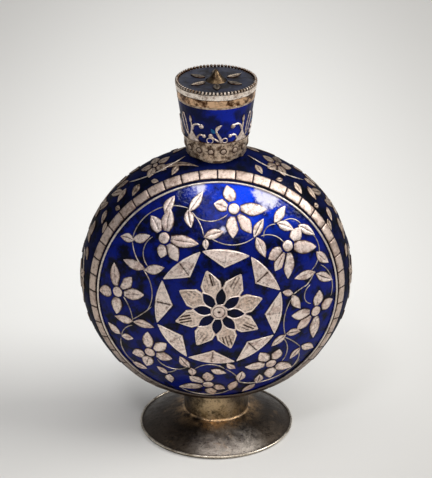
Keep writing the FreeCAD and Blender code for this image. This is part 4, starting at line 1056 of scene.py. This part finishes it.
class SPRINKLER_OT_flowers(bpy.types.Operator):
    """Builds the flowers and leaves on both faces"""

    bl_idname = "sprinkler.flowers"
    bl_label = "Flowers and leaves"

    def execute(self, context):
        sizes = context.scene.sprinkler_pattern
        dome = Dome()
        rise = mm(sizes.rise)
        draw = random.Random(5)
        petals, eyes, leaves = Mesh(), Mesh(), Mesh()
        for spot, parts in FLOWERS:
            x, z = polar(spot[0] / 100 * dome.field, spot[1])
            turns = sorted(turn % 360 for _, turn in parts)
            for reach, turn in parts:
                way = Vector(polar(1.0, spot[1] + turn))
                near = mm(sizes.eye) + 0.22
                far = reach / 100 * dome.field * 1.05
                root = dome.at(x + way.x * near, z + way.y * near)
                tip = dome.at(x + way.x * far, z + way.y * far)
                index = turns.index(turn % 360)
                after = (turns[(index + 1) % len(turns)] - turn) % 360 / 2
                before = (turn - turns[index - 1]) % 360 / 2
                groove = draw.choice((0.0, 0.15, 0.3))
                wide = min(mm(sizes.petal), 0.85 * (tip - root).length + 0.5) * draw.uniform(0.96, 1.06)
                bend = draw.uniform(-0.25, 0.25)
                room = (near, after, before)
                leaf(petals, dome, root, tip, wide, chased(rise, groove, 0.12), PETAL, bend, room)
            eye(eyes, dome.at(x, z), dome.at(x, z, 1.0) - dome.at(x, z), mm(sizes.eye))
        for root, tip in LEAVES:
            start, end = dome.place(root), dome.place(tip)
            start, end = start.lerp(end, -0.08), end.lerp(start, -0.08)
            wide = min(mm(sizes.leaf), 0.66 * (end - start).length) * draw.uniform(0.92, 1.05)
            groove = draw.choice((0.1, 0.3, 0.45))
            leaf(leaves, dome, start, end, wide, chased(rise, groove, 0.1), LEAF, draw.uniform(-0.35, 0.35))
        both_faces(petals, "flower_petals", "chased_silver_relief")
        both_faces(eyes, "flower_eyes", "chased_silver_relief")
        both_faces(leaves, "leaves", "chased_silver_relief")
        return {"FINISHED"}


def eye(mesh, centre, outward, radius):
    """A flower's round eye: a low flat dome with a soft edge."""
    spun(mesh, centre, outward, [
        (0.05, -SINK, 0), (radius - 0.06, -SINK, 0), (radius, 0.1, 0.0), (radius - 0.2, 0.26, 0.7),
        (radius * 0.75, 0.33, 1), (radius * 0.4, 0.37, 0.9), (0.03, 0.38, 0.9),
    ], 20)


class SPRINKLER_OT_vines(bpy.types.Operator):
    """Lays the thin vine wires on both faces"""

    bl_idname = "sprinkler.vines"
    bl_label = "Vine wires"

    def execute(self, context):
        dome = Dome()
        radius = mm(context.scene.sprinkler_pattern.wire) * 0.4
        mesh = Mesh()
        for spots in VINES:
            first, middle, last = (dome.place(spot) for spot in spots)
            path = [dome.lay(p, radius * 0.5) for p in arc_through(first, middle, last, 22, 1.3)]
            wire(mesh, path, radius)
        both_faces(mesh, "vines", "aged_silver_wire")
        return {"FINISHED"}


class SPRINKLER_OT_tiles(bpy.types.Operator):
    """Sets the ring of silver tiles round each face"""

    bl_idname = "sprinkler.tiles"
    bl_label = "Border tiles"

    def execute(self, context):
        flask = context.scene.sprinkler_flask
        sizes = context.scene.sprinkler_pattern
        band = Band()
        rise, long = mm(sizes.rise), mm(sizes.tile)
        joint = 0.12  # half the gap between tiles, in degrees
        beside = 1.09  # millimetres from the seam to the tiles
        seam = math.acos((mm(flask.seam_radius) - band.ring) / band.radius)
        top = seam - beside / band.radius
        pitch = 360 / TILES
        draw = random.Random(11)
        mesh = Mesh()
        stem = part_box("stem")[1]
        for k in range(TILES):
            stations = []
            slip = draw.uniform(-0.05, 0.05)
            for share in (0, 0.03, 0.09, 0.25, 0.5, 0.75, 0.91, 0.97, 1):
                angle = k * pitch + joint + (pitch - 2 * joint) * share
                ends = [band.leant(angle, -lean) for lean in (top, top - long / band.radius)]
                across = ends[1] - ends[0]
                pinch = 1 - 0.05 * abs(2 * share - 1) ** 8 + slip * 0.5
                half = across.length / 2 * pinch
                stations.append(((ends[0] + ends[1]) / 2, across.normalized(), half, share))
            x, y, z = stations[len(stations) // 2][0] * MM
            if z > stem.z or abs(x) >= stem.x or abs(y) >= stem.y:  # the stem covers the others
                strip(mesh, band, stations, self.section(rise))
        both_faces(mesh, "ring_tiles", "chased_silver_tiles")
        return {"FINISHED"}

    def section(self, rise):
        """A flat tile with rounded edges and ends."""

        def shape(along, t):
            both = max(0.0, min(1 - abs(t) ** 6, 1 - abs(2 * along - 1) ** 16))
            return rise * (0.4 + 0.6 * both), 0.15 + 0.85 * both

        return shape


class SPRINKLER_OT_side_scroll(bpy.types.Operator):
    """Builds the flowers, leaves and wires round the band"""

    bl_idname = "sprinkler.side_scroll"
    bl_label = "Side scroll"

    def execute(self, context):
        band = Band()
        rise = mm(context.scene.sprinkler_pattern.rise)
        petals, leaves, vines = Mesh(), Mesh(), Mesh()
        reach = band.ring + band.radius
        collar, stem = (math.degrees(math.asin(bare / reach)) for bare in SIDE_BARE)
        pitch = (180 - collar - stem) / SIDE_FLOWERS
        for index in range(SIDE_FLOWERS):
            centre = 90 - collar - (index + 0.5) * pitch
            side = (-1) ** (index + 1)
            for mirror in (False, True):
                self.flower(petals, band, rise, centre, side, mirror)
                self.leaf_pair(leaves, band, rise, centre, side, mirror)
                self.vine(vines, band, centre, side, mirror, pitch)
        for start, end, wide, bend in SIDE_EXTRAS:
            for mirror in (False, True):
                ends = [self.spot(band, mirror, *place) for place in (start, end)]
                for flip in (1, -1):
                    root, tip = (Vector((p.x, p.y * flip, p.z)) for p in ends)
                    way = bend * flip * (-1 if mirror else 1)
                    leaf(leaves, band, root, tip, wide, chased(rise, 0.4, 0.1), BLADE, way)
        for flip in (1, -1):  # a long bent blade on each side of the cap
            ends = [band.at(90 + flip * turn, flip * aside) for turn, aside in ((26.0, -5.2), (8.0, -9.0))]
            leaf(leaves, band, *ends, 2.0, chased(rise, 0.6, 0.1), BLADE, 1.3)
        for mesh, name, key in (
            (petals, "side_petals", "tarnished_side_silver"),
            (leaves, "side_leaves", "tarnished_side_silver"),
            (vines, "side_vines", "aged_silver_wire"),
        ):
            mesh.made(f"{name}_relief", material(key), "flask", name, slot="chased_silver")
        return {"FINISHED"}

    def spot(self, band, mirror, degrees, aside):
        """A place on the band's right side, or its mirror on the left."""
        return band.at(180 - degrees if mirror else degrees, aside)

    def flower(self, mesh, band, rise, centre, side, mirror):
        """Five petals and an eye."""
        sway = SIDE_SWAY * side
        near, far, wide = SIDE_PETAL
        for k in range(5):
            way = Vector(polar(1.0, 72 * k + 18))
            root, tip = (
                self.spot(band, mirror, centre + out * way.x / band.per_degree, sway + out * way.y)
                for out in (near, far)
            )
            leaf(mesh, band, root, tip, wide, chased(rise, 0.4, 0.1), PETAL, 0, (near, 36, 36))
        core = self.spot(band, mirror, centre, sway)
        eye(mesh, core, band.lay(core, 1.0) - core, 1.0)

    def leaf_pair(self, mesh, band, rise, centre, side, mirror):
        """Two leaves across the band from a flower, one up and one down."""
        away, long, wide = SIDE_LEAF
        lean = math.radians(43)
        for way in (-1, 1):
            turn, aside = centre + way * away / band.per_degree, -SIDE_SWAY * side / 2
            root = self.spot(band, mirror, turn, aside)
            turn += way * long * math.cos(lean) / band.per_degree
            tip = self.spot(band, mirror, turn, aside - side * long * math.sin(lean))
            leaf(mesh, band, root, tip, wide, chased(rise, 0.5, 0.1), LEAF, 0.3 * way)

    def vine(self, mesh, band, centre, side, mirror, pitch):
        """A bent wire that passes a flower on its outer side."""
        spots = (
            self.spot(band, mirror, centre + pitch * share, SIDE_SWAY * side * lift)
            for share, lift in ((-0.42, 1.2), (0.0, 2.4), (0.42, 1.2))
        )
        wire(mesh, [band.lay(point, 0.14) for point in arc_through(*spots, 24)], 0.19)


class SPRINKLER_OT_neck(bpy.types.Operator):
    """Gives the neck, its plate and its thread their materials"""

    bl_idname = "sprinkler.neck"
    bl_label = "Neck"

    def execute(self, context):
        finish_nodes("beaten_silver_inside", "neck_tube", "sprinkler_plate")
        finish_nodes("rubbed_silver_band", "neck_collar")
        finish_nodes("drawn_silver_wire", "neck_thread")
        return {"FINISHED"}


class SPRINKLER_OT_cap_bands(bpy.types.Operator):
    """Gives the cap's wall, bands, liner and thread their materials"""

    bl_idname = "sprinkler.cap_bands"
    bl_label = "Cap bands"

    def execute(self, context):
        finish_nodes("beaten_silver_inside", "cap_sleeve")
        finish_nodes("rubbed_silver_band", "cap_wall", "cap_base_band")
        finish_nodes("polished_silver_band", "cap_rim_band", "cap_top_plate")
        finish_nodes("drawn_silver_wire", "cap_wire_band", "cap_thread")
        finish_nodes("tarnished_copper_band", "cap_lower_band")
        finish_nodes("fired_cobalt_cap_enamel", "cap_side_enamel")
        finish_nodes("cut_cork", "cap_cork")
        return {"FINISHED"}


class SPRINKLER_OT_cap_ornament(bpy.types.Operator):
    """Builds the bosses on the base band and the curled sprays on the cap's enamel"""

    bl_idname = "sprinkler.cap_ornament"
    bl_label = "Cap ornament"

    def execute(self, context):
        sizes = context.scene.sprinkler_cap
        foot = mm(sizes.base_band)
        cone, band = Cone(), Cone(0.05)
        bosses, groove, sprays, touches = Mesh(), Mesh(), Mesh(), Mesh()
        for k in range(BOSSES):
            self.boss(bosses, band, 360 * (k + 0.5) / BOSSES - 90, foot / 2, mm(sizes.boss))
        wire(groove, [band.at(6 * k, foot - 0.1, 0.12) for k in range(60)], 0.14, closed=True)
        for k in range(SPRAYS):
            turn = 360 / SPRAYS * k
            self.spray(sprays, cone, turn - 45, foot)
            self.sprig(sprays, cone, turn - 90, foot)
            ends = cone.at(turn - 93, foot + 3.4), cone.at(turn - 100, foot + 4.9)
            leaf(touches, cone, *ends, 1.1, chased(0.14), LEAF, 0.2)
        bosses.made(
            "cap_bosses_relief", material("tarnished_side_silver"), "cap", "cap_bosses", slot="cap_silver")
        groove.made("cap_band_groove", material("brown_patina_line"), "cap")
        touches.made("cap_turquoise_touches", material("fired_turquoise_enamel"), "cap")
        sprays.made(
            "cap_sprays_relief", material("polished_silver_cap"), "cap", "cap_sprays", slot="cap_silver")
        return {"FINISHED"}

    def boss(self, mesh, band, angle, middle, radius):
        """A round boss in a ring, with a small pin above and below it."""
        core = band.at(angle, middle)
        out = band.at(angle, middle, 1.0) - core
        spun(mesh, core, out, [
            (0.05, -SINK, 0), (radius * 1.12, -SINK, 0), (radius * 1.12, 0.05, 0.1),
            (radius * 1.02, 0.1, 0.9), (radius * 0.9, 0.04, 0.0), (radius * 0.8, 0.05, 0.1),
            (radius * 0.68, 0.2, 1), (radius * 0.4, 0.27, 1), (0.03, 0.3, 1),
        ], 20)
        for lift in (-1.9, 1.9):
            profile = [(0.02, -SINK, 0), (0.2, -SINK, 0), (0.2, 0.03, 0.2), (0.02, 0.05, 0.2)]
            spun(mesh, band.at(angle, middle + lift), out, profile, 8)

    def spots(self, cone, middle, foot):
        """A function that places millimetres aside of a plant's middle and above the base band."""
        per_mm = math.degrees(1 / cone.reach(foot))
        return lambda aside, lift, rise=0.0: cone.at(middle + aside * per_mm, foot + lift, rise)

    def spray(self, mesh, cone, middle, foot):
        """A mound with hollow flanks, two curled tendrils that end in balls on one side, a club-ended
        stem, and on the other side a looped leaf drawn in wire."""
        spot = self.spots(cone, middle, foot)
        across = (spot(0.5, 0.0) - spot(-0.5, 0.0)).normalized()
        strip(mesh, cone, [
            (spot(0, -0.25 + 4.5 * share), across, 0.3 + 3.3 * (1 - share) ** 2, share)
            for share in (i / 14 for i in range(15))
        ], chased(0.3, 0.0, 0.15))
        upper = smooth([(0.1, 3.4), (0.5, 4.7), (1.3, 5.7), (2.4, 6.0), (3.3, 5.6)])
        lower = smooth([(1.6, 0.9), (2.2, 2.0), (3.0, 2.5), (3.9, 2.3)])
        loop = smooth([
            (1.6, 1.0), (2.9, 3.0), (3.6, 5.4), (3.7, 7.6), (2.9, 8.4), (2.2, 6.2), (1.9, 4.0), (1.7, 2.0),
        ], 4)
        for side in (-1, 1):
            if side == (-1 if round(middle) in (-45, 135) else 1):
                wire(mesh, [spot(side * x, z) for x, z in upper], 0.42, taper=0.65)
                self.ball(mesh, cone, spot(side * 3.4, 5.4), 0.8)
                wire(mesh, [spot(side * x, z) for x, z in lower], 0.36, taper=0.7)
                self.ball(mesh, cone, spot(side * 4.1, 2.2), 0.6)
            else:
                wire(mesh, [spot(side * x, z, 0.08) for x, z in loop], 0.16)
        stem = smooth([(0, 3.6), (0.15, 5.4), (0.0, 7.0)])
        wire(mesh, [spot(x, z, 0.1) for x, z in stem], 0.24, taper=0.8)
        leaf(mesh, cone, spot(0, 6.2), spot(0, 8.6), 1.15, chased(0.3), PETAL)

    def sprig(self, mesh, cone, middle, foot):
        """A small plant between two sprays: a bent stem, a pointed leaf and two looped wires."""
        spot = self.spots(cone, middle, foot)
        stem = smooth([(1.2, -0.1), (0.9, 1.4), (0.2, 2.8), (-0.4, 4.0)])
        wire(mesh, [spot(x, z) for x, z in stem], 0.52, taper=0.6)
        leaf(mesh, cone, spot(-0.4, 3.8), spot(1.3, 6.2), 1.3, chased(0.3), LEAF, 0.4)
        twig = smooth([(0.6, 0.4), (-0.8, 1.4), (-1.8, 2.4)])
        wire(mesh, [spot(x, z, 0.1) for x, z in twig], 0.3, taper=0.8)
        self.ball(mesh, cone, spot(-2.0, 2.5), 0.68)
        for centre, size in ((-2.2, 0.95), (2.3, 0.8)):
            ring = (polar(size, 22.5 * k) for k in range(16))
            wire(mesh, [spot(centre + x, 0.8 + z, 0.08) for x, z in ring], 0.16, closed=True)

    def ball(self, mesh, cone, core, radius):
        """The rounded end of a tendril."""
        spun(mesh, core, cone.lay(core, 1.0) - cone.lay(core, 0.0), [
            (0.02, -SINK, 0), (radius * 0.9, -SINK, 0), (radius, 0.1, 0.6), (radius * 0.85, 0.28, 1),
            (radius * 0.5, 0.4, 1), (0.02, 0.44, 1),
        ], 14)


class SPRINKLER_OT_cap_top(bpy.types.Operator):
    """Builds the leaves on the cap's top and gives the enamel, beads and finial their materials"""

    bl_idname = "sprinkler.cap_top"
    bl_label = "Cap top"

    def execute(self, context):
        finish_nodes("fired_grey_top_enamel", "cap_top_enamel")
        finish_nodes("beaded_silver_edge", "cap_bead_edge")
        finish_nodes("gilt_brown_finial", "cap_finial")
        top = mm(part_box("cap_top_enamel")[1].z)
        mesh = Mesh()
        for k in range(6):
            root, tip = (level(60 * (k + 0.5)) * reach + Vector((0, 0, top)) for reach in (3.9, 8.9))
            leaf(mesh, Plate(top), root, tip, 2.4, chased(0.5, 0.5))
        silver_leaves = material("dull_silver_leaves")
        mesh.made("cap_top_petals_relief", silver_leaves, "cap", "cap_top_petals", slot="cap_silver")
        return {"FINISHED"}


class SPRINKLER_OT_foot(bpy.types.Operator):
    """Builds the smooth spreading foot, and gives the stem and the rim wire their materials"""

    bl_idname = "sprinkler.foot"
    bl_label = "Stem and foot"

    def execute(self, context):
        finish_nodes("pitted_cast_silver_stem", "stem")
        finish_nodes("worn_silver_rim_wire", "foot_rim_wire")
        profile = [(radius, height, 1.0) for radius, height in smooth(FOOT_TOP, 5) + FOOT_UNDER]
        mesh = Mesh()
        spun(mesh, Vector(), Vector((0, 0, 1)), profile, 96, closed=True)
        mesh.made("foot_spun_sheet", material("oxidised_spun_silver_foot"), "flask", "foot", sharp=50)
        return {"FINISHED"}


class SPRINKLER_OT_stage(bpy.types.Operator):
    """Lays the pale floor, and sets the soft lights and the camera"""

    bl_idname = "sprinkler.stage"
    bl_label = "Stage"

    def execute(self, context):
        scene = context.scene
        data = bpy.data.meshes.new("stage_floor")
        corners = [(x * FLOOR_REACH, y * FLOOR_REACH, 0) for x, y in ((-1, -1), (1, -1), (1, 1), (-1, 1))]
        data.from_pydata(corners, [], [(0, 1, 2, 3)])
        data.materials.append(material("pale_floor_paper"))
        floor = bpy.data.objects.new("stage_floor", data)
        scene.collection.objects.link(floor)
        scene.world = bpy.data.worlds.new("studio_world")
        scene.world.use_nodes = True
        tree = scene.world.node_tree
        tree.nodes.clear()
        glow = add(tree, "Background", {"Color": linear("#e6e8ee"), "Strength": 0.33})
        add(tree, "OutputWorld", {"Surface": glow})
        for light in LIGHTS:
            self.light(scene, *light)
        self.camera(scene)
        scene.view_settings.view_transform = "Standard"
        return {"FINISHED"}

    def light(self, scene, name, azimuth, elevation, away, size, power, tint):
        """A soft rectangular light that faces the flask."""
        lamp = bpy.data.lights.new(name, "AREA")
        lamp.shape = "RECTANGLE"
        lamp.size, lamp.size_y = size
        lamp.energy = power
        lamp.color = linear(tint)[:3]
        self.stand(scene, bpy.data.objects.new(name, lamp), LIT_PLACE, (azimuth, elevation), away)

    def camera(self, scene):
        """The photograph's view."""
        lens = bpy.data.cameras.new("camera")
        lens.lens, lens.sensor_width, lens.clip_start = CAMERA_LENS, 36.0, 0.05
        scene.camera = bpy.data.objects.new("camera", lens)
        self.stand(scene, scene.camera, CAMERA_AIM, CAMERA_TURN, CAMERA_AWAY)

    def stand(self, scene, piece, aim, turn, away):
        """Puts a lamp or camera at a distance from what it faces."""
        way = facing_way(*turn)
        piece.location = aim + way * away
        piece.rotation_euler = way.to_track_quat("Z", "Y").to_euler()
        scene.collection.objects.link(piece)


OPERATORS = (
    SPRINKLER_OT_stage, SPRINKLER_OT_shell, SPRINKLER_OT_medallion, SPRINKLER_OT_flowers, SPRINKLER_OT_vines,
    SPRINKLER_OT_tiles, SPRINKLER_OT_side_scroll, SPRINKLER_OT_neck, SPRINKLER_OT_cap_bands,
    SPRINKLER_OT_cap_ornament, SPRINKLER_OT_cap_top, SPRINKLER_OT_foot,
)
GROUPS = (FlaskSizes, PatternSizes, CapSizes, FinishColours)
SETTINGS = {
    "sprinkler_flask": FlaskSizes,
    "sprinkler_pattern": PatternSizes,
    "sprinkler_cap": CapSizes,
    "sprinkler_finish": FinishColours,
}


class SPRINKLER_PT_panel(bpy.types.Panel):
    """Lists the pieces and their settings"""

    bl_label = "Rosewater sprinkler"
    bl_idname = "SPRINKLER_PT_panel"
    bl_space_type = "VIEW_3D"
    bl_region_type = "UI"
    bl_category = "Sprinkler"

    def draw(self, context):
        for name, group in SETTINGS.items():
            box = self.layout.box()
            for key in group.__annotations__:
                box.prop(getattr(context.scene, name), key)
        for operator in OPERATORS:
            self.layout.operator(operator.bl_idname)


def register():
    for made in GROUPS + OPERATORS + (SPRINKLER_PT_panel,):
        bpy.utils.register_class(made)
    for name, group in SETTINGS.items():
        setattr(bpy.types.Scene, name, bpy.props.PointerProperty(type=group))


def unregister():
    for name in SETTINGS:
        delattr(bpy.types.Scene, name)
    for made in reversed(GROUPS + OPERATORS + (SPRINKLER_PT_panel,)):
        bpy.utils.unregister_class(made)


def main():
    register()
    for operator in OPERATORS:
        family, name = operator.bl_idname.split(".")
        getattr(getattr(bpy.ops, family), name)()
    bpy.context.view_layer.update()


if __name__ == "__main__":
    main()
